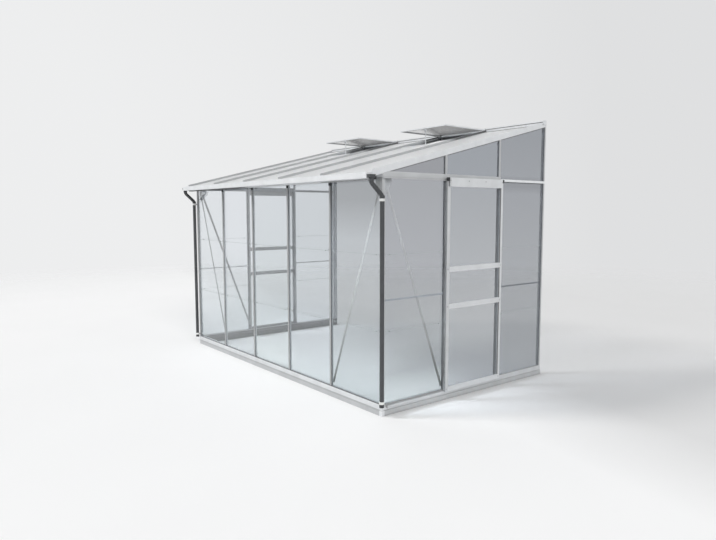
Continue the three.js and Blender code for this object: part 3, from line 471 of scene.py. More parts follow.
# Plastics: name, colour, roughness, strength of the grain
PLASTICS = [
    ("pipe_plastic", (0.05, 0.053, 0.057), 0.45, 0.15),
    ("seal_rubber", (0.022, 0.023, 0.025), 0.7, 0.1),
    ("side_seal_rubber", (0.14, 0.143, 0.147), 0.7, 0.1),
    ("worn_seal_rubber", (0.3, 0.305, 0.31), 0.8, 0.3),
    ("roof_seal_rubber", (0.4, 0.405, 0.41), 0.7, 0.1),
    ("top_shadow_plastic", (0.16, 0.165, 0.17), 0.4, 0.05),
    ("clip_plastic", (0.75, 0.76, 0.75), 0.4, 0.05),
    ("pane_edge", (0.36, 0.4, 0.4), 0.2, 0.02),
]

# Tints of the panes, from low to high: (place, colour). Besides the glass's own tint, they hold painted
# light and shade
PANE_TINTS = {
    "front_glass_1": [
        (0.1, (0.66, 0.69, 0.7)),
        (0.4, (0.84, 0.87, 0.88)),
        (1.05, (0.95, 0.97, 0.98)),
        (1.7, (0.95, 0.97, 0.98)),
    ],
    "front_glass_2": [
        (0.1, (0.62, 0.65, 0.66)),
        (0.5, (0.78, 0.82, 0.83)),
        (1.1, (0.93, 0.95, 0.97)),
        (1.7, (0.92, 0.94, 0.96)),
    ],
    "front_glass_3": [
        (0.1, (0.62, 0.66, 0.66)),
        (0.6, (0.8, 0.84, 0.85)),
        (1.7, (0.84, 0.87, 0.89)),
    ],
    "front_glass_4": [
        (0.1, (0.6, 0.64, 0.65)),
        (0.39, (0.64, 0.67, 0.69)),
        (0.73, (0.83, 0.86, 0.88)),
        (1.15, (0.76, 0.79, 0.81)),
        (1.7, (0.76, 0.79, 0.81)),
    ],
    "front_glass_5": [
        (0.1, (0.53, 0.57, 0.58)),
        (0.8, (0.63, 0.66, 0.68)),
        (1.25, (0.61, 0.64, 0.67)),
        (1.54, (0.44, 0.46, 0.48)),
        (1.7, (0.42, 0.44, 0.46)),
    ],
    "left_glass": [(0.1, (0.9, 0.93, 0.95)), (1.7, (0.93, 0.94, 0.96))],
    "gable_glass_right_front": [
        (0.1, (0.58, 0.615, 0.62)),
        (0.3, (0.47, 0.495, 0.505)),
        (0.5, (0.6, 0.625, 0.64)),
        (0.88, (0.54, 0.56, 0.585)),
        (1.2, (0.505, 0.52, 0.55)),
        (1.7, (0.46, 0.475, 0.5)),
        (1.735, (0.39, 0.4, 0.425)),
        (1.9, (0.39, 0.4, 0.425)),
    ],
    "gable_glass_right_rear": [
        (0.1, (0.5, 0.52, 0.54)),
        (0.61, (0.485, 0.505, 0.53)),
        (1.04, (0.48, 0.5, 0.525)),
        (1.6, (0.437, 0.455, 0.485)),
        (1.66, (0.36, 0.375, 0.4)),
        (1.71, (0.36, 0.375, 0.4)),
        (1.75, (0.42, 0.44, 0.47)),
        (2.1, (0.39, 0.41, 0.44)),
    ],
    "gable_glass_right_over_door": [(1.7, (0.42, 0.445, 0.48)), (2.1, (0.4, 0.425, 0.46))],
    "door_glass_right": [
        (0.1, (0.5, 0.52, 0.54)),
        (0.3, (0.53, 0.55, 0.57)),
        (0.5, (0.62, 0.64, 0.66)),
        (0.9, (0.56, 0.58, 0.605)),
        (1.15, (0.53, 0.55, 0.575)),
        (1.7, (0.47, 0.49, 0.52)),
    ],
}
# The roof panes are milky and pale: painted reflection of the bright surroundings at a grazing angle
ROOF_TINTS = [(1.7, (0.74, 0.745, 0.75)), (2.2, (0.71, 0.715, 0.72))]
ROOF_PANE = {"rough": 0.3, "ior": 1.1, "clearness": 0.4, "lets_in": 0.72}
# Tints of the vent glass: painted light at the free corner, painted shade towards the hinge
VENT_TINTS = [(0.0, grey(0.8, 0)), (0.2, grey(0.8, 0)), (0.34, grey(0.36, 0)), (0.9, grey(0.3, 0))]
VENT_FADE = (0.84, 0.55, 0.0)
VENT_PANE = {"rough": 0.1, "ior": 1.03, "axis": VENT_FADE}
VENT_SHADE_TO_Y = HINGE_Y - 0.06

CHANNEL = (-0.943, -0.901, 1.671, 1.695)
# Painted shade on the bolt channel under the gutter: dark at the left, pale in the middle, grey at the
# right
CHANNEL_SHADE_BAND = ("z", 1.661, 1.678, 0.0008)
GUTTER_METALLIC = 0.3
CHANNEL_SHADE_TONES = [
    (-1.56, grey(0.02)),
    (-0.36, grey(0.04)),
    (-0.15, grey(0.7)),
    (0.93, grey(0.7)),
    (0.95, grey(0.4)),
    (1.56, grey(0.4)),
]
# Painted shade along the eaves seal: black at the left, lighter towards the right
EAVES_SEAL_SHADE_TONES = [
    (-1.55, grey(0.03)),
    (-0.34, grey(0.05)),
    (-0.12, grey(0.5)),
    (0.93, grey(0.5)),
    (0.95, grey(0.32)),
    (1.55, grey(0.32)),
]
EAVES_SEAL_GRAIN = 300.0
EAVES_SEAL_GLOSS = (0.6, 0.8)
EAVES_SEAL_BUMP = (0.1, GRAIN_DEPTH)


def make_finishes():
    made = [mill_aluminium(name, level, axis, **look) for name, level, axis, look in METALS]
    made += [plastic(*row) for row in PLASTICS]
    made += [pane(name, stops) for name, stops in PANE_TINTS.items()]
    made.append(pane("roof_glass", ROOF_TINTS, **ROOF_PANE))
    made += [gutter_aluminium(), eaves_seal_shade()]
    for label, side in SIDES.items():
        made += [vent_glass(label, VENT_BAYS[side]), vent_aluminium(label, VENT_BAYS[side])]
    return {material.name: material for material in made}


def vent_glass(label, bay):
    """Glass with painted light at its free left corner and painted shade towards the hinge and the
    right.
    """
    corner = Vector((grid_x(bay), HINGE_Y - VENT_LENGTH, 0.0)).dot(Vector(VENT_FADE))
    stops = [(corner + place, colour) for place, colour in VENT_TINTS]
    return pane(f"vent_glass_{label}", stops, **VENT_PANE)


def vent_aluminium(label, bay):
    """Pale aluminium with painted shade on the undersides and on the inner face of the far rail."""
    rail = (grid_x(bay), grid_x(bay) + VENT_SIDE_GAP + VENT_RAIL + GLASS)
    light_and_shade_zones = [(DOWN, "y", 0.0, VENT_SHADE_TO_Y, 0.25, 0.002), (RIGHT, "x", *rail, 0.35, 0.002)]
    return mill_aluminium(f"vent_frame_{label}", PALE, "x", light_and_shade_zones=light_and_shade_zones)


def gutter_aluminium():
    """Pale aluminium. The bolt channel below the trough carries painted shade along x, as the seal
    beside it does.
    """
    material, tree, shader = new_material("gutter")
    mask = band(tree, *CHANNEL_SHADE_BAND)
    channel_shade = run_of_tones(tree, "x", CHANNEL_SHADE_TONES)
    colour = blended(tree, mask, clouded(tree, grey(PALE)), channel_shade)
    add_draw_lines(tree, shader, colour, "x", GUTTER_METALLIC)
    return material


def eaves_seal_shade():
    """Rubber with painted shade: black at the left end, lighter towards the right."""
    material, tree, shader = new_material("eaves_seal_painted_shade")
    fine = stretched_noise(tree, EAVES_SEAL_GRAIN, DRAWN_ALONG["x"])
    tones = run_of_tones(tree, "x", EAVES_SEAL_SHADE_TONES)
    gloss = ranged(tree, fine, *EAVES_SEAL_GLOSS)
    fill(tree, shader, feeds={"Base Color": tones, "Roughness": gloss})
    add_bump(tree, shader, fine, *EAVES_SEAL_BUMP)
    return material


# Start of a node's name and its finish. Other nodes take the finish whose name starts theirs.
FINISH_OF = [
    ("door_glass_left", "left_glass"),
    ("gable_glass_left", "left_glass"),
    ("downpipe", "pipe_plastic"),
    ("roof_bar_end_left", "roof_bar_end_left"),
    ("roof_bar_end_right", "pale_aluminium_y"),
    ("roof_bar_1", "vent_rear_aluminium"),
    ("roof_bar_3", "vent_rear_aluminium"),
    ("roof_bar", "vent_side_aluminium"),
    ("front_bar", "bar_aluminium"),
    ("ridge", "pale_aluminium_x"),
    ("vent_stay", "pale_aluminium_x"),
    ("vent_sill", "roof_aluminium"),
]


def dress_nodes(nodes, finishes):
    """Gives each node its finish, by FINISH_OF or else by the start of the node's name."""
    rows = FINISH_OF + [(name, name) for name in finishes]
    for name, node in nodes.items():
        finish = next(finish for start, finish in rows if name.startswith(start))
        node.data.materials.clear()
        node.data.materials.append(finishes[finish])
        for polygon in node.data.polygons:
            polygon.use_smooth = False


# Shapes for small parts. Each adds its faces to a bmesh.


def axes_for(direction):
    """Two directions square to the given one, and the given one at length 1."""
    w = Vector(direction).normalized()
    u = UP.cross(w)
    if u.length < 0.01:
        u = Vector((1, 0, 0))
    u.normalize()
    return u, w.cross(u), w


def add_rings(mesh, rings):
    """A closed skin over a row of equal rings of points."""
    rows = [[mesh.verts.new(point) for point in ring] for ring in rings]
    count = len(rows[0])
    for lower, upper in zip(rows, rows[1:]):
        for i in range(count):
            j = (i + 1) % count
            mesh.faces.new((lower[i], lower[j], upper[j], upper[i]))
    mesh.faces.new(tuple(reversed(rows[0])))
    mesh.faces.new(tuple(rows[-1]))


def add_bar(mesh, start, end, section):
    """A bar from start to end. section is a list of vectors from its line to its corners."""
    add_rings(mesh, [[start + s for s in section], [end + s for s in section]])


def add_strip(mesh, corner, opposite):
    """A straight strip with square edges between two opposite corners."""
    x0, y0, z0 = corner
    x1, y1, z1 = opposite
    section = [Vector((x, y, 0)) for x, y in ((x0, y0), (x1, y0), (x1, y1), (x0, y1))]
    add_bar(mesh, UP * z0, UP * z1, section)


def add_block(mesh, corner, opposite, c):
    """A box with upright edges and rims chamfered by c."""
    (x0, x1), (y0, y1), (z0, z1) = (sorted(pair) for pair in zip(corner, opposite))

    def ring(inset, z):
        x, y, X, Y = x0 + inset, y0 + inset, x1 - inset, y1 - inset
        corners = [(x + c, y), (X - c, y), (X, y + c), (X, Y - c)]
        corners += [(X - c, Y), (x + c, Y), (x, Y - c), (x, y + c)]
        return [Vector((px, py, z)) for px, py in corners]

    add_rings(mesh, [ring(c, z0), ring(0.0, z0 + c), ring(0.0, z1 - c), ring(c, z1)])


def add_turned(mesh, foot, direction, profile, sides, size=1.0):
    """A turned part: profile is a list of (radius, height) from the foot, times size."""
    u, v, w = axes_for(direction)
    rings = []
    for radius, height in profile:
        ring = []
        for i in range(sides):
            angle = 2 * math.pi * i / sides
            spoke = u * math.cos(angle) + v * math.sin(angle)
            ring.append(foot + w * height * size + spoke * radius * size)
        rings.append(ring)
    add_rings(mesh, rings)


ROUND = 24
SMALL_ROUND = 16
HEXAGON = 6
BOLT_ROUND = 10
BOLT_SIZE = 0.006
WASHER_SHARES = [(1.15, 0.0), (1.15, 0.18), (1.05, 0.25)]
NUT_SHARES = [(0.86, 0.2), (0.92, 0.35), (0.92, 0.85), (0.8, 1.0)]
BOLT_END_SHARES = [(0.45, 0.8), (0.45, 1.3), (0.3, 1.4)]
SCREW_SHARES = [(1.0, 0.0), (1.0, 0.2), (0.85, 0.45), (0.5, 0.62), (0.15, 0.66)]


def add_bolt(mesh, foot, direction):
    """A hexagon nut on a washer with the bolt's end standing out of it."""
    add_turned(mesh, foot, direction, WASHER_SHARES, SMALL_ROUND, BOLT_SIZE)
    add_turned(mesh, foot, direction, NUT_SHARES, HEXAGON, BOLT_SIZE)
    add_turned(mesh, foot, direction, BOLT_END_SHARES, BOLT_ROUND, BOLT_SIZE)


def add_screw(mesh, foot, direction, radius):
    """A low domed screw head."""
    add_turned(mesh, foot, direction, SCREW_SHARES, SMALL_ROUND, radius)


def section_xz(x0, x1, z0, z1):
    return [Vector((x0, 0, z0)), Vector((x1, 0, z0)), Vector((x1, 0, z1)), Vector((x0, 0, z1))]


def new_object(name, mesh, finish):
    """Turns a finished bmesh into an object of the scene."""
    data = bpy.data.meshes.new(name)
    mesh.to_mesh(data)
    mesh.free()
    data.materials.append(finish)
    made = bpy.data.objects.new(name, data)
    bpy.context.scene.collection.objects.link(made)
    return made


def make_piece(name, build, finish, body, slot, *place):
    """Runs build on an empty mesh and makes a piece that rides on a body."""
    mesh = bmesh.new()
    build(mesh, *place)
    bmesh.ops.recalc_face_normals(mesh, faces=mesh.faces)
    piece = new_object(name, mesh, finish)
    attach(piece, body)


# Glazing seals

WALL_BARS_X = [grid_x(i) for i in range(1, BAYS)]
BETWEEN_POSTS_X = GABLE_X - HEAD_IN
SEAL_WIDTH = 0.0022
SEAL_THICK = 0.0026
SEAL_LAP = 0.0006
SEAL_GAP = 0.001
SILL_SEAL_HEIGHT = 0.0035
SILL_SEAL_BACK = 0.0012
SILL_SEAL_END = 0.02
CORNER_SEAL_Y = FRONT_Y + 0.0044
EAVES_SEAL_HEIGHT = 0.014
EAVES_SEAL_GAP = 0.0002
# A dark strip under the gable's end bar: a painted shadow line
TOP_SHADOW_HEIGHT = 0.006
TOP_SHADOW_START = FRONT_Y + 0.05
TOP_SHADOW_END = WALL_Y - 0.002


def beside_cap(middle, hand):
    """Both edges of a seal on one hand of a cap."""
    return middle + hand * (CAP_HALF - SEAL_LAP), middle + hand * (CAP_HALF + SEAL_WIDTH)


def front_seals(mesh):
    """Strips between each front bar's cap and the panes beside it."""
    for x in WALL_BARS_X:
        for hand in (-1, 1):
            near, far = beside_cap(x, hand)
            corner = (near, FRONT_Y - GLASS - SEAL_THICK, SILL_Z + SEAL_GAP)
            add_strip(mesh, corner, (far, FRONT_Y - GLASS, FLANGE_LOW - SEAL_GAP))


def sill_seal(mesh):
    """The strip under the front panes."""
    corner = (-BETWEEN_POSTS_X, FRONT_Y - SILL_OUT + SILL_SEAL_BACK, SILL_Z)
    add_strip(mesh, corner, (BETWEEN_POSTS_X, FRONT_Y - GLASS, SILL_Z + SILL_SEAL_HEIGHT))


def eaves_seal(mesh):
    """The seal that hangs below the eaves beam, over the tops of panes and bars; its colour is painted
    shade.
    """
    front = FRONT_Y - CAP_OUT
    corner = (-BETWEEN_POSTS_X, front - SEAL_THICK, FLANGE_LOW - EAVES_SEAL_HEIGHT)
    add_strip(mesh, corner, (BETWEEN_POSTS_X, front - EAVES_SEAL_GAP, FLANGE_LOW - SKIN))


def gable_seals(mesh, side):
    """Strips beside the gable's posts and along its sill."""
    inner = side * (GABLE_X + GLASS)
    outer = side * (GABLE_X + GLASS + SEAL_THICK)
    for y, hand in ((DOOR_POSTS_Y[0], -1), (DOOR_POSTS_Y[1], 1), (CORNER_SEAL_Y, 1)):
        near, far = beside_cap(y, hand)
        add_strip(mesh, (inner, near, SILL_Z + SEAL_GAP), (outer, far, TRACK_LOW - SEAL_GAP))
        if y in DOOR_POSTS_Y:
            top = underside(y) - 2 * SEAL_GAP
            add_strip(mesh, (inner, near, TRACK_TOP + SEAL_GAP), (outer, far, top))
    outer = side * (GABLE_X + SILL_OUT - SILL_SEAL_BACK)
    front_bay = (FRONT_Y + HEAD_IN, DOOR_POSTS_Y[0] - CAP_HALF)
    rear_bay = (DOOR_POSTS_Y[1] + CAP_HALF, WALL_Y - SILL_SEAL_END)
    for start, end in (front_bay, rear_bay):
        add_strip(mesh, (inner, start, SILL_Z), (outer, end, SILL_Z + SILL_SEAL_HEIGHT))


def gable_top_shadow(mesh, side):
    """Dark strip along the top of the gable's panes, under the end bar: a painted shadow line."""
    inner = side * (GABLE_X + GLASS + HAIR)
    outer = side * (GABLE_X + CAP_OUT - SKIN)
    section = section_xz(inner, outer, -TOP_SHADOW_HEIGHT - SKIN, -SKIN)
    start, end = (Vector((0, y, underside(y))) for y in (TOP_SHADOW_START, TOP_SHADOW_END))
    add_bar(mesh, start, end, section)


# Lap joints between panes: a thin edge line and small clips

EDGE_HEIGHT = 0.0009
EDGE_PROUD = 0.0062
EDGE_INSET = 0.0165
GABLE_EDGE_INSETS = (0.0215, 0.0265)
LAP_EDGES_Z = [z - 0.007 for z in LAPS_Z]
CLIP_INSET = 0.06
CLIP_HALF = 0.0045
CLIP_SECTION = [(0.0056, 0.005), (0.0074, 0.005), (0.0074, -0.006), (0.0056, -0.006)]


def front_pane_edges(mesh):
    for z in LAP_EDGES_Z:
        for bay in range(BAYS):
            corner = (grid_x(bay) + EDGE_INSET, FRONT_Y - EDGE_PROUD, z - EDGE_HEIGHT)
            end = grid_x(bay + 1) - EDGE_INSET
            add_strip(mesh, corner, (end, FRONT_Y - GLASS, z + EDGE_HEIGHT))


def gable_pane_edges(mesh, side):
    inner, outer = side * (GABLE_X + GLASS), side * (GABLE_X + EDGE_PROUD)
    front, rear = GABLE_EDGE_INSETS
    for z in LAP_EDGES_Z:
        for start, end in FIXED_BAYS_Y:
            corner = (inner, start + front, z - EDGE_HEIGHT)
            add_strip(mesh, corner, (outer, end - rear, z + EDGE_HEIGHT))


def add_pane_clip(mesh, middle, sideways, outward):
    """A small clip that holds the upper pane's edge."""
    half = sideways * CLIP_HALF
    ring = [middle + outward * out + UP * lift for out, lift in CLIP_SECTION]
    add_rings(mesh, [[p - half for p in ring], [p + half for p in ring]])


def front_pane_clips(mesh):
    for z in LAP_EDGES_Z:
        for bay in range(BAYS):
            for x in (grid_x(bay) + CLIP_INSET, grid_x(bay + 1) - CLIP_INSET):
                add_pane_clip(mesh, Vector((x, FRONT_Y, z)), Vector(RIGHT), Vector(FRONT))


def gable_pane_clips(mesh, side):
    outward = side * Vector(RIGHT)
    for z in LAP_EDGES_Z:
        for start, end in FIXED_BAYS_Y:
            for y in (start + CLIP_INSET, end - CLIP_INSET):
                add_pane_clip(mesh, gable_at(side, y, 0.0, z), Vector(BACK), outward)


# Bar ends and eaves

# Black blocks at the tops of the front bars: painted shade under the gutter
BAR_SHADE_LOW = 1.652
BAR_SHADE_PROUD = 0.0012
BAR_SHADE_CHAMFER = 0.0006
CHANNEL_PLUG_DEPTH = 0.02
CHANNEL_PLUG_OUT = 0.004
CHANNEL_WALL = 0.0022
CHANNEL_PLUG_OVER = 0.0002
CHANNEL_PLUG_CHAMFER = 0.001


def bar_top_shades(mesh):
    """Black blocks over the caps of the front bars, just under the eaves beam: painted shade under the
    gutter.
    """
    half = CAP_HALF + SEAL_WIDTH
    top = FLANGE_LOW - EAVES_SEAL_HEIGHT - SKIN
    for x in WALL_BARS_X:
        corner = (x - half, FRONT_Y - CAP_OUT - BAR_SHADE_PROUD, BAR_SHADE_LOW)
        add_block(mesh, corner, (x + half, FRONT_Y - GLASS - HAIR, top), BAR_SHADE_CHAMFER)


def eaves_plugs(mesh):
    """Black plugs that close both ends of the bolt channel under the gutter; their black also paints
    the shade inside its open ends.
    """
    y0, y1, z0, z1 = CHANNEL
    for side in SIDES.values():
        corner = (side * (GABLE_X - CHANNEL_PLUG_DEPTH), y0 + CHANNEL_WALL, z0 + CHANNEL_WALL)
        end = side * (GABLE_X + CHANNEL_PLUG_OUT)
        opposite = (end, y1 - CHANNEL_WALL, z1 + CHANNEL_PLUG_OVER)
        add_block(mesh, corner, opposite, CHANNEL_PLUG_CHAMFER)


# Downpipes. Profiles are (radius, height) from their middle.

COLLAR = [(0.0161, -0.009), (0.0183, -0.008), (0.0187, -0.002), (0.0187, 0.006), (0.0161, 0.009)]
FOOT_RIB = [(0.0161, -0.003), (0.0178, -0.002), (0.0178, 0.0015), (0.0161, 0.0025)]
FOOT_RIBS_Z = [PIPE_FOOT_Z + 0.0035 + step * 0.0075 for step in range(3)]
CLIP_ROUND = 28
CLIP_SLEEVE = [(0.0186, -0.0092), (0.0198, -0.0086), (0.0198, 0.0086), (0.0186, 0.0092)]
OUTLET_COLLAR_Z = EAVES_Z - 0.052
NECK_COLLAR_Z = NECK_LOW_Z - 0.006
CUP_RIM_X = (GUTTER_END_X + 0.0004, GUTTER_END_X + 0.0355)
CUP_RIM_HALF_Y = 0.0262
CUP_RIM_Z = (1.6985, 1.705)
CUP_CHAMFER = 0.0012


def pipe_fittings(mesh, side):
    """Collars at the neck's joints, a rim round the cup and ribs on the foot."""
    x = side * PIPE_X
    add_turned(mesh, Vector((x, OUTLET_Y, OUTLET_COLLAR_Z)), UP, COLLAR, ROUND)
    add_turned(mesh, Vector((x, PIPE_Y, NECK_COLLAR_Z)), UP, COLLAR, ROUND)
    for z in FOOT_RIBS_Z:
        add_turned(mesh, Vector((x, PIPE_Y, z)), UP, FOOT_RIB, ROUND)
    corner = (side * CUP_RIM_X[0], OUTLET_Y - CUP_RIM_HALF_Y, CUP_RIM_Z[0])
    opposite = (side * CUP_RIM_X[1], OUTLET_Y + CUP_RIM_HALF_Y, CUP_RIM_Z[1])
    add_block(mesh, corner, opposite, CUP_CHAMFER)


def pipe_clips(mesh, side):
    """Pale sleeves over the two clips that hold the pipe."""
    for z in CLIPS_Z:
        add_turned(mesh, Vector((side * PIPE_X, PIPE_Y, z)), UP, CLIP_SLEEVE, CLIP_ROUND)


# Doors

BRUSH_HALF = 0.002
BRUSH_GAP = 0.001
BRUSH_Z = (SILL_Z + 0.004, TRACK_LOW - 0.012)
BEAD_WIDTH = 0.011
BEAD_OUT = (DOOR_OUT - 0.0004, DOOR_OUT + 0.0008)
BLOCK_WIDTH = 0.019
BLOCK_INNER = DOOR_OUT - 0.0085
BLOCK_LOW = TRACK_LOW - 0.0015
BLOCK_CHAMFER = 0.0012
DOOR_SCREW = 0.0045
# Screws of a door: places as shares of its width, height, distance from the glass plane
DOOR_SCREWS = [
    ((0.04, 0.35, 0.65, 0.96), HEAD_BOX_LOW + 0.046, HEAD_BOX_OUT),
    ((0.025, 0.97), RAILS_Z[0] + RAIL_HEIGHT / 2, RAIL_OUT),
    ((0.025, 0.97), RAILS_Z[1] + RAIL_HEIGHT / 2, RAIL_OUT),
    ((0.025, 0.975), DOOR_BOTTOM + RAIL_HEIGHT / 2, DOOR_OUT),
]


def door_brushes(mesh, side):
    """Brush seals between the stiles and the posts."""
    inner = side * (GABLE_X + CAP_OUT + BRUSH_GAP)
    outer = side * (GABLE_X + DOOR_IN + SKIN)
    for y in DOOR_POSTS_Y:
        corner = (inner, y - BRUSH_HALF, BRUSH_Z[0])
        add_strip(mesh, corner, (outer, y + BRUSH_HALF, BRUSH_Z[1]))


def door_blocks(mesh, side):
    """Black end blocks of the head box."""
    inner = side * (GABLE_X + BLOCK_INNER)
    outer = side * (GABLE_X + HEAD_BOX_OUT)
    for y, hand in ((DOOR_START + HEAD_BOX_INSET, -1), (DOOR_END - HEAD_BOX_INSET, 1)):
        corner = (inner, y + hand * SKIN, BLOCK_LOW)
        add_block(mesh, corner, (outer, y + hand * BLOCK_WIDTH, HEAD_BOX_TOP), BLOCK_CHAMFER)


def door_beads(mesh, side):
    """Glazing beads on the rear stile, beside the panes."""
    inner, outer = (side * (GABLE_X + out) for out in BEAD_OUT)
    start = DOOR_END - STILE
    bottoms = [z + RAIL_HEIGHT for z in (DOOR_BOTTOM, *RAILS_Z)]
    for low, high in zip(bottoms, (*RAILS_Z, HEAD_BOX_LOW)):
        add_strip(mesh, (inner, start, low), (outer, start + BEAD_WIDTH, high))


def door_screws(mesh, side):
    """Screw heads on the head box, the rails and the bottom rail."""
    for shares, z, out in DOOR_SCREWS:
        for share in shares:
            foot = gable_at(side, DOOR_START + share * (DOOR_END - DOOR_START), out, z)
            add_screw(mesh, foot, side * Vector(RIGHT), DOOR_SCREW)


# Base and girt

RIBS_Z = (0.016, 0.034, 0.052, 0.07)
RIB_HEIGHT = 0.004
RIB_ROOT = 0.0005
RIB_PROUD = 0.0022
RIB_END = 0.002
CORNER_REACH = 0.01
CORNER_PROUD = 0.0009
CORNER_SKIN = 0.001
CORNER_RADIUS = 0.003
CORNER_ANGLES = range(90, -15, -15)
CORNER_GAPS = (0.0004, 0.0002)
INNER_GIRT_IN = (0.0045, 0.0015)
INNER_GIRT_END = WALL_Y - 0.034


def inner_girt(mesh, side):
    """The girt's inner flange behind the glass of a rear bay."""
    low, high = REAR_GIRT_Z
    inner, outer = (side * (GABLE_X - depth) for depth in INNER_GIRT_IN)
    corner = (inner, DOOR_POSTS_Y[1] + CAP_HALF, low)
    add_strip(mesh, corner, (outer, INNER_GIRT_END, high))


def base_ribs(mesh):
    """Raised ribs along the inner faces of the base, painted near black for the shade along the ribbed
    face.
    """
    run = GABLE_X - BASE_DEPTH - RIB_END
    y = FRONT_Y + BASE_DEPTH
    for z in RIBS_Z:
        low, high = z - RIB_HEIGHT / 2, z + RIB_HEIGHT / 2
        add_strip(mesh, (-run, y - RIB_ROOT, low), (run, y + RIB_PROUD, high))
        for side in SIDES.values():
            root = side * (GABLE_X - BASE_DEPTH + RIB_ROOT)
            crest = side * (GABLE_X - BASE_DEPTH - RIB_PROUD)
            add_strip(mesh, (root, y + 2 * RIB_END, low), (crest, WALL_Y - RIB_END, high))


def base_corners(mesh):
    """Rounded covers over the mitres at the front corners."""
    steps = ((BASE_OUT, 0.0, BASE_STEP_Z), (SILL_OUT, BASE_STEP_Z, SILL_Z))
    for side in SIDES.values():
        for out, low, high in steps:
            inner, outer = out - CORNER_SKIN, out + CORNER_PROUD
            centre = outer - CORNER_RADIUS
            ring = [(-CORNER_REACH, inner), (-CORNER_REACH, outer)]
            for degrees in CORNER_ANGLES:
                a = centre + CORNER_RADIUS * math.cos(math.radians(degrees))
                b = centre + CORNER_RADIUS * math.sin(math.radians(degrees))
                ring.append((a, b))
            ring += [(outer, -CORNER_REACH), (inner, -CORNER_REACH), (inner, inner)]
            section = [Vector((side * (GABLE_X + a), FRONT_Y - b, 0)) for a, b in ring]
            add_bar(mesh, UP * (low + CORNER_GAPS[0]), UP * (high - CORNER_GAPS[1]), section)


# Bolts inside the frame

SILL_BOLT_Z = SILL_Z + 0.028
EAVES_BOLT_Z = 1.655
TRACK_BOLT_Z = TRACK_LOW + 0.016
GIRT_BOLT_Z = GIRT_Z + 0.022
ROOF_BOLT_DROP = 0.03
PLATE_IN = HEAD_IN + 0.0033
# Bolts of the corner plate and the braces: distance from the corner, height
PLATE_BOLTS = [(0.03, 1.62), (0.03, 1.672), (0.07, 1.672), (0.052, 1.632), (0.61, 0.114)]


def frame_bolts(mesh):
    backward = Vector(BACK)
    for x in WALL_BARS_X:
        for z in (SILL_BOLT_Z, EAVES_BOLT_Z):
            add_bolt(mesh, Vector((x, FRONT_Y + HEAD_IN, z)), backward)
    for side in SIDES.values():
        inward = -side * Vector(RIGHT)
        for y in DOOR_POSTS_Y:
            for z in (SILL_BOLT_Z, TRACK_BOLT_Z, GIRT_BOLT_Z, underside(y) - ROOF_BOLT_DROP):
                add_bolt(mesh, gable_at(side, y, -HEAD_IN, z), inward)
        for distance, z in PLATE_BOLTS:
            add_bolt(mesh, Vector((side * (GABLE_X - distance), FRONT_Y + PLATE_IN, z)), backward)
            add_bolt(mesh, gable_at(side, FRONT_Y + distance, -PLATE_IN, z), inward)


# Roof

ROOF_SEAL_RUN = (0.06, 1.98)
ROOF_SEAL_LIFT = 0.0264
ROOF_SEAL_Z = (-0.001, 0.0012)
HINGE_FLAP_INSET = 0.011
HINGE_FLAP_Y = (WALL_Y - 0.005, WALL_Y - 0.0032)
HINGE_FLAP_Z = (underside(WALL_Y) + 0.002, HINGE_Z - 0.004)
# Groove and lip of a cover strip, drawn as dark lines of painted shade: out and in from its front, low
# and high from its lower edge
COVER_LINES = [(0.0007, 0.001, 0.0175, 0.0235), (0.0012, 0.002, -0.0045, 0.0)]
COVER_JOINT_HALF = 0.0009
COVER_JOINT_Y = (-0.0008, 0.001)
COVER_JOINT_TOP = RIDGE_TOP - COVER_FALL - 0.001
FLAP_GAP = 0.001
FLAP_LIFT = ROOF_GLASS_TOP * 1.03
FLAP_REACH = 0.02
FLAP_INSET = 0.019
FLAP_Z = (-0.0005, 0.002)
RIDGE_PLUG_X = (GABLE_X + RIDGE_PAST - 0.002, GABLE_X + RIDGE_PAST + 0.0012)
RIDGE_PLUG_INSET = 0.0008


def roof_seals(mesh):
    """Grey strips beside the caps of the roof bars."""
    half = SEAL_WIDTH / 2
    section = section_xz(-half, half, *ROOF_SEAL_Z)
    for middle in WALL_BARS_X:
        for hand in (-1, 1):
            x = middle + hand * (CAP_HALF + half)
            ends = [roof_at(x, down, ROOF_SEAL_LIFT) for down in ROOF_SEAL_RUN]
            add_bar(mesh, *ends, section)


def add_hinge_flap(mesh, start, end):
    """The dark flap below a vent's hinge; its dark colour is painted shade under the open vent."""
    corner = (start + HINGE_FLAP_INSET, HINGE_FLAP_Y[0], HINGE_FLAP_Z[0])
    add_strip(mesh, corner, (end - HINGE_FLAP_INSET, HINGE_FLAP_Y[1], HINGE_FLAP_Z[1]))


def add_cover_trim(mesh, start, end):
    """Groove and lip, drawn as dark lines of painted shade, with the joint and sealing flap of one
    cover strip.
    """
    start, end = start - COVER_PAST, end + COVER_PAST
    front, foot = WALL_Y - COVER_FRONT, RIDGE_TOP - COVER_DROP
    for out, back, low, high in COVER_LINES:
        add_strip(mesh, (start, front - out, foot + low), (end, front + back, foot + high))
    out, back = COVER_JOINT_Y
    corner = (start - COVER_JOINT_HALF, front + out, foot)
    add_strip(mesh, corner, (start + COVER_JOINT_HALF, front + back, COVER_JOINT_TOP))
    low, high = FLAP_Z
    drop = ROOF_RISE * FLAP_REACH
    section = [(0.0, low), (0.0, high), (-FLAP_REACH, high - drop), (-FLAP_REACH, low - drop)]
    section = [Vector((0, y, z)) for y, z in section]
    line = Vector((0, front - FLAP_GAP, underside(front) + FLAP_LIFT))
    left, right = Vector((start + FLAP_INSET, 0, 0)), Vector((end - FLAP_INSET, 0, 0))
    add_bar(mesh, line + left, line + right, section)


def ridge_trim(mesh):
    """Dark flaps below the hinges, painted shade under the open vents, and the trim of the cover strips
    between them.
    """
    for bay in range(BAYS):
        add_trim = add_hinge_flap if bay in VENT_BAYS.values() else add_cover_trim
        add_trim(mesh, grid_x(bay), grid_x(bay + 1))


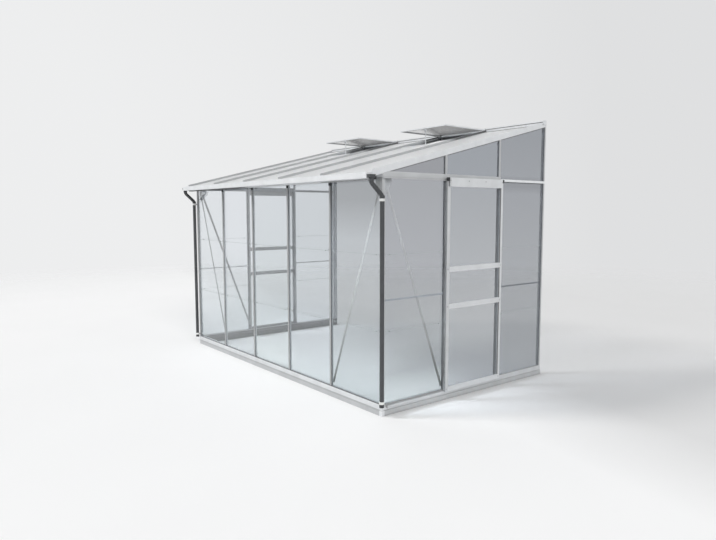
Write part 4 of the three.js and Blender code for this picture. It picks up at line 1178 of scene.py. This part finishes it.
def ridge_plugs(mesh):
    """Pale plugs that close both ends of the ridge."""
    back = WALL_Y - SKIN
    front = WALL_Y - COVER_FRONT + RIDGE_PLUG_INSET
    foot, top = RIDGE_TOP - COVER_DROP, RIDGE_TOP - RIDGE_PLUG_INSET
    rim = [(back, foot), (front, foot), (front, top - COVER_FALL), (back, top)]
    section = [Vector((0, y, z)) for y, z in rim]
    for side in SIDES.values():
        inner, outer = (Vector((side * x, 0, 0)) for x in RIDGE_PLUG_X)
        add_bar(mesh, inner, outer, section)


# Vents

KNUCKLE = [(0.0062, 0.0), (0.0072, 0.001), (0.0072, 0.005), (0.0062, 0.006)]
KNUCKLE_ROUND = 20
KNUCKLES_PAST = (-0.004, -0.002)
VENT_SCREW = 0.004
VENT_SCREWS_OUT = (0.022, VENT_LENGTH - VENT_RAIL / 2)


def vent_trim(mesh, side):
    """End knuckles of a vent's hinge, and screw heads on its side rails."""
    bay = VENT_BAYS[side]
    edges = (grid_x(bay) + VENT_SIDE_GAP, grid_x(bay + 1) - VENT_SIDE_GAP)
    for edge, past in zip(edges, KNUCKLES_PAST):
        foot = Vector((edge + past, HINGE_Y, HINGE_Z))
        add_turned(mesh, foot, Vector(RIGHT), KNUCKLE, KNUCKLE_ROUND)
    lift = vent_at(0, 0, 1) - vent_at(0, 0, 0)
    for x in (edges[0] + VENT_RAIL / 2, edges[1] - VENT_RAIL / 2):
        for out in VENT_SCREWS_OUT:
            add_screw(mesh, vent_at(x, out, VENT_TOP), lift, VENT_SCREW)


# Pieces of the frame: name, builder, finish, slot
FRAME_PIECES = [
    ("front_seals", front_seals, "seal_rubber", "black_plastic"),
    ("sill_seal", sill_seal, "side_seal_rubber", "black_plastic"),
    ("front_pane_edges", front_pane_edges, "pane_edge", "glass"),
    ("front_pane_clips", front_pane_clips, "pane_edge", "black_plastic"),
    ("eaves_seal", eaves_seal, "eaves_seal_painted_shade", "black_plastic"),
    ("bar_top_shades", bar_top_shades, "seal_rubber", "black_plastic"),
    ("eaves_plugs", eaves_plugs, "seal_rubber", "black_plastic"),
    ("base_ribs", base_ribs, "rib_aluminium", "pale_aluminium"),
    ("base_corners", base_corners, "pale_aluminium_x", "pale_aluminium"),
    ("frame_bolts", frame_bolts, "bolt_steel", "aluminium"),
    ("roof_seals", roof_seals, "roof_seal_rubber", "black_plastic"),
    ("ridge_trim", ridge_trim, "side_seal_rubber", "black_plastic"),
    ("ridge_plugs", ridge_plugs, "pale_aluminium_x", "pale_aluminium"),
]
INNER_GIRT_FINISHES = {"left": "door_track_left", "right": "mid_girt_right"}

# Pieces of both sides: name without its side, builder, finish, body and slot
SIDE_PIECES = [
    ("gable_seals", gable_seals, "worn_seal_rubber", "frame", "black_plastic"),
    ("gable_top_shadow", gable_top_shadow, "top_shadow_plastic", "frame", "black_plastic"),
    ("pane_edges", gable_pane_edges, "pane_edge", "frame", "glass"),
    ("pane_clips", gable_pane_clips, "pane_edge", "frame", "black_plastic"),
    ("pipe_fittings", pipe_fittings, "pipe_plastic", "frame", "black_plastic"),
    ("pipe_clips", pipe_clips, "clip_plastic", "frame", "pale_aluminium"),
    ("door_brushes", door_brushes, "worn_seal_rubber", "door", "black_plastic"),
    ("door_blocks", door_blocks, "seal_rubber", "door", "black_plastic"),
    ("door_beads", door_beads, "side_seal_rubber", "door", "black_plastic"),
    ("door_screws", door_screws, "bolt_steel", "door", "aluminium"),
    ("vent_trim", vent_trim, "pale_aluminium_x", "vent", "pale_aluminium"),
]


def add_small_parts(finishes):
    for name, build, finish, slot in FRAME_PIECES:
        make_piece(name, build, finishes[finish], "frame", slot)
    for label, side in SIDES.items():
        finish = finishes[INNER_GIRT_FINISHES[label]]
        make_piece(f"inner_girt_{label}", inner_girt, finish, "frame", "aluminium", side)
    for label, side in SIDES.items():
        for name, build, finish, part, slot in SIDE_PIECES:
            body = part if part == "frame" else f"{part}_{label}"
            make_piece(f"{name}_{label}", build, finishes[finish], body, slot, side)


# Camera and studio

# Lamps: name, direction towards it, strength, spread in degrees
LAMPS = [("key", (-0.45, -0.62, 0.64), 1.6, 14.0), ("fill", (0.8, -0.3, 0.5), 1.4, 30.0)]
BACKDROP_LEFT = (0.85, 0.855, 0.86)
BACKDROP_RIGHT = (0.74, 0.745, 0.752)
BACKDROP_TURN = (-0.95, -0.5)
AMBIENT = 0.42
WHITE = (1.0, 1.0, 1.0, 1.0)
SEEING_RAYS = ("Is Camera Ray", "Is Transmission Ray", "Is Glossy Ray")
FLOOR_RADIUS = 14.0
FLOOR_EDGES = 96
FLOOR_TONES = ((0.94, 0.943, 0.946), (0.955, 0.958, 0.961))
FLOOR_CLOUDS = (0.8, EVEN, 2.0)
FLOOR_LOOK = {"Roughness": 0.9, "Specular IOR Level": 0.1}
# Painted shade on the floor towards the wall
FLOOR_DIMS_TOWARDS = (0.2, 0.98, 0.0)
FLOOR_DIMS_FROM = (0.1, 1.1)
FLOOR_DIM = 0.79
FADE = (5.0, 12.5)


def add_camera():
    data = bpy.data.cameras.new("camera")
    data.lens = LENS
    data.sensor_width = SENSOR
    data.clip_start, data.clip_end = SEES
    camera = bpy.data.objects.new("camera", data)
    camera.location = CAMERA_AT
    turn = Matrix.Rotation(math.radians(CAMERA_YAW), 4, "Z")
    tilt = Matrix.Rotation(math.radians(90.0 + CAMERA_PITCH), 4, "X")
    roll = Matrix.Rotation(math.radians(CAMERA_ROLL), 4, "Z")
    camera.rotation_euler = (turn @ tilt @ roll).to_euler()
    bpy.context.scene.collection.objects.link(camera)
    bpy.context.scene.camera = camera


def add_sun(name, towards, strength, spread):
    """A soft distant lamp that stands in the direction towards."""
    data = bpy.data.lights.new(name, "SUN")
    data.energy = strength
    data.angle = math.radians(spread)
    lamp = bpy.data.objects.new(name, data)
    lamp.rotation_euler = Vector(towards).to_track_quat("Z", "Y").to_euler()
    bpy.context.scene.collection.objects.link(lamp)


def add_world():
    """Soft room light; what the camera, metal and glass see is the pale backdrop."""
    world = bpy.data.worlds.new("studio")
    world.use_nodes = True
    bpy.context.scene.world = world
    tree = world.node_tree
    tree.nodes.clear()
    ambient = add_node(tree, "Background", {"Color": WHITE, "Strength": AMBIENT})
    split = add_node(tree, "SeparateXYZ", feeds={"Vector": coordinates(tree, "Generated")})
    turn = ranged(tree, split.outputs["X"], 0.0, 1.0, *BACKDROP_TURN)
    backdrop = two_tone(tree, turn, BACKDROP_LEFT, BACKDROP_RIGHT, 0.0, 1.0)
    seen = add_node(tree, "Background", {"Strength": 1.0}, {"Color": backdrop})
    path = add_node(tree, "LightPath")
    camera, glass, metal = (path.outputs[ray] for ray in SEEING_RAYS)
    sees = combined(tree, "MAXIMUM", combined(tree, "MAXIMUM", camera, glass), metal)
    feeds = {0: sees, 1: ambient.outputs[0], 2: seen.outputs[0]}
    mix = add_node(tree, "MixShader", feeds=feeds)
    add_node(tree, "OutputWorld", feeds={"Surface": mix.outputs[0]})


def floor_paint():
    """Pale paint with painted shade towards the wall, that fades out at the floor's edge."""
    material, tree, shader = new_material("floor_paint")
    paint = two_tone(tree, stretched_noise(tree, *FLOOR_CLOUDS), *FLOOR_TONES)
    dim = along(tree, FLOOR_DIMS_TOWARDS, *FLOOR_DIMS_FROM)
    feeds = {0: coordinates(tree, "Object")}
    length = add_node(tree, "VectorMath", feeds=feeds, operation="LENGTH").outputs["Value"]
    fade = ranged(tree, length, 1.0, 0.0, *FADE, interpolation_type="SMOOTHSTEP")
    feeds = {"Base Color": shaded(tree, dim, paint, FLOOR_DIM), "Alpha": fade}
    fill(tree, shader, FLOOR_LOOK, feeds)
    return material


def add_floor():
    """A pale round floor that fades into the backdrop at its edge."""
    mesh = bmesh.new()
    bmesh.ops.create_circle(mesh, cap_ends=True, segments=FLOOR_EDGES, radius=FLOOR_RADIUS)
    floor = new_object("studio_floor", mesh, floor_paint())


def main():
    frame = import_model()
    add_camera()
    finishes = make_finishes()
    dress_nodes(frame["nodes"], finishes)
    add_small_parts(finishes)
    add_world()
    add_floor()
    for lamp in LAMPS:
        add_sun(*lamp)
    bpy.context.scene.view_settings.view_transform = "Standard"
    bpy.context.scene.cycles.caustics_reflective = False


main()
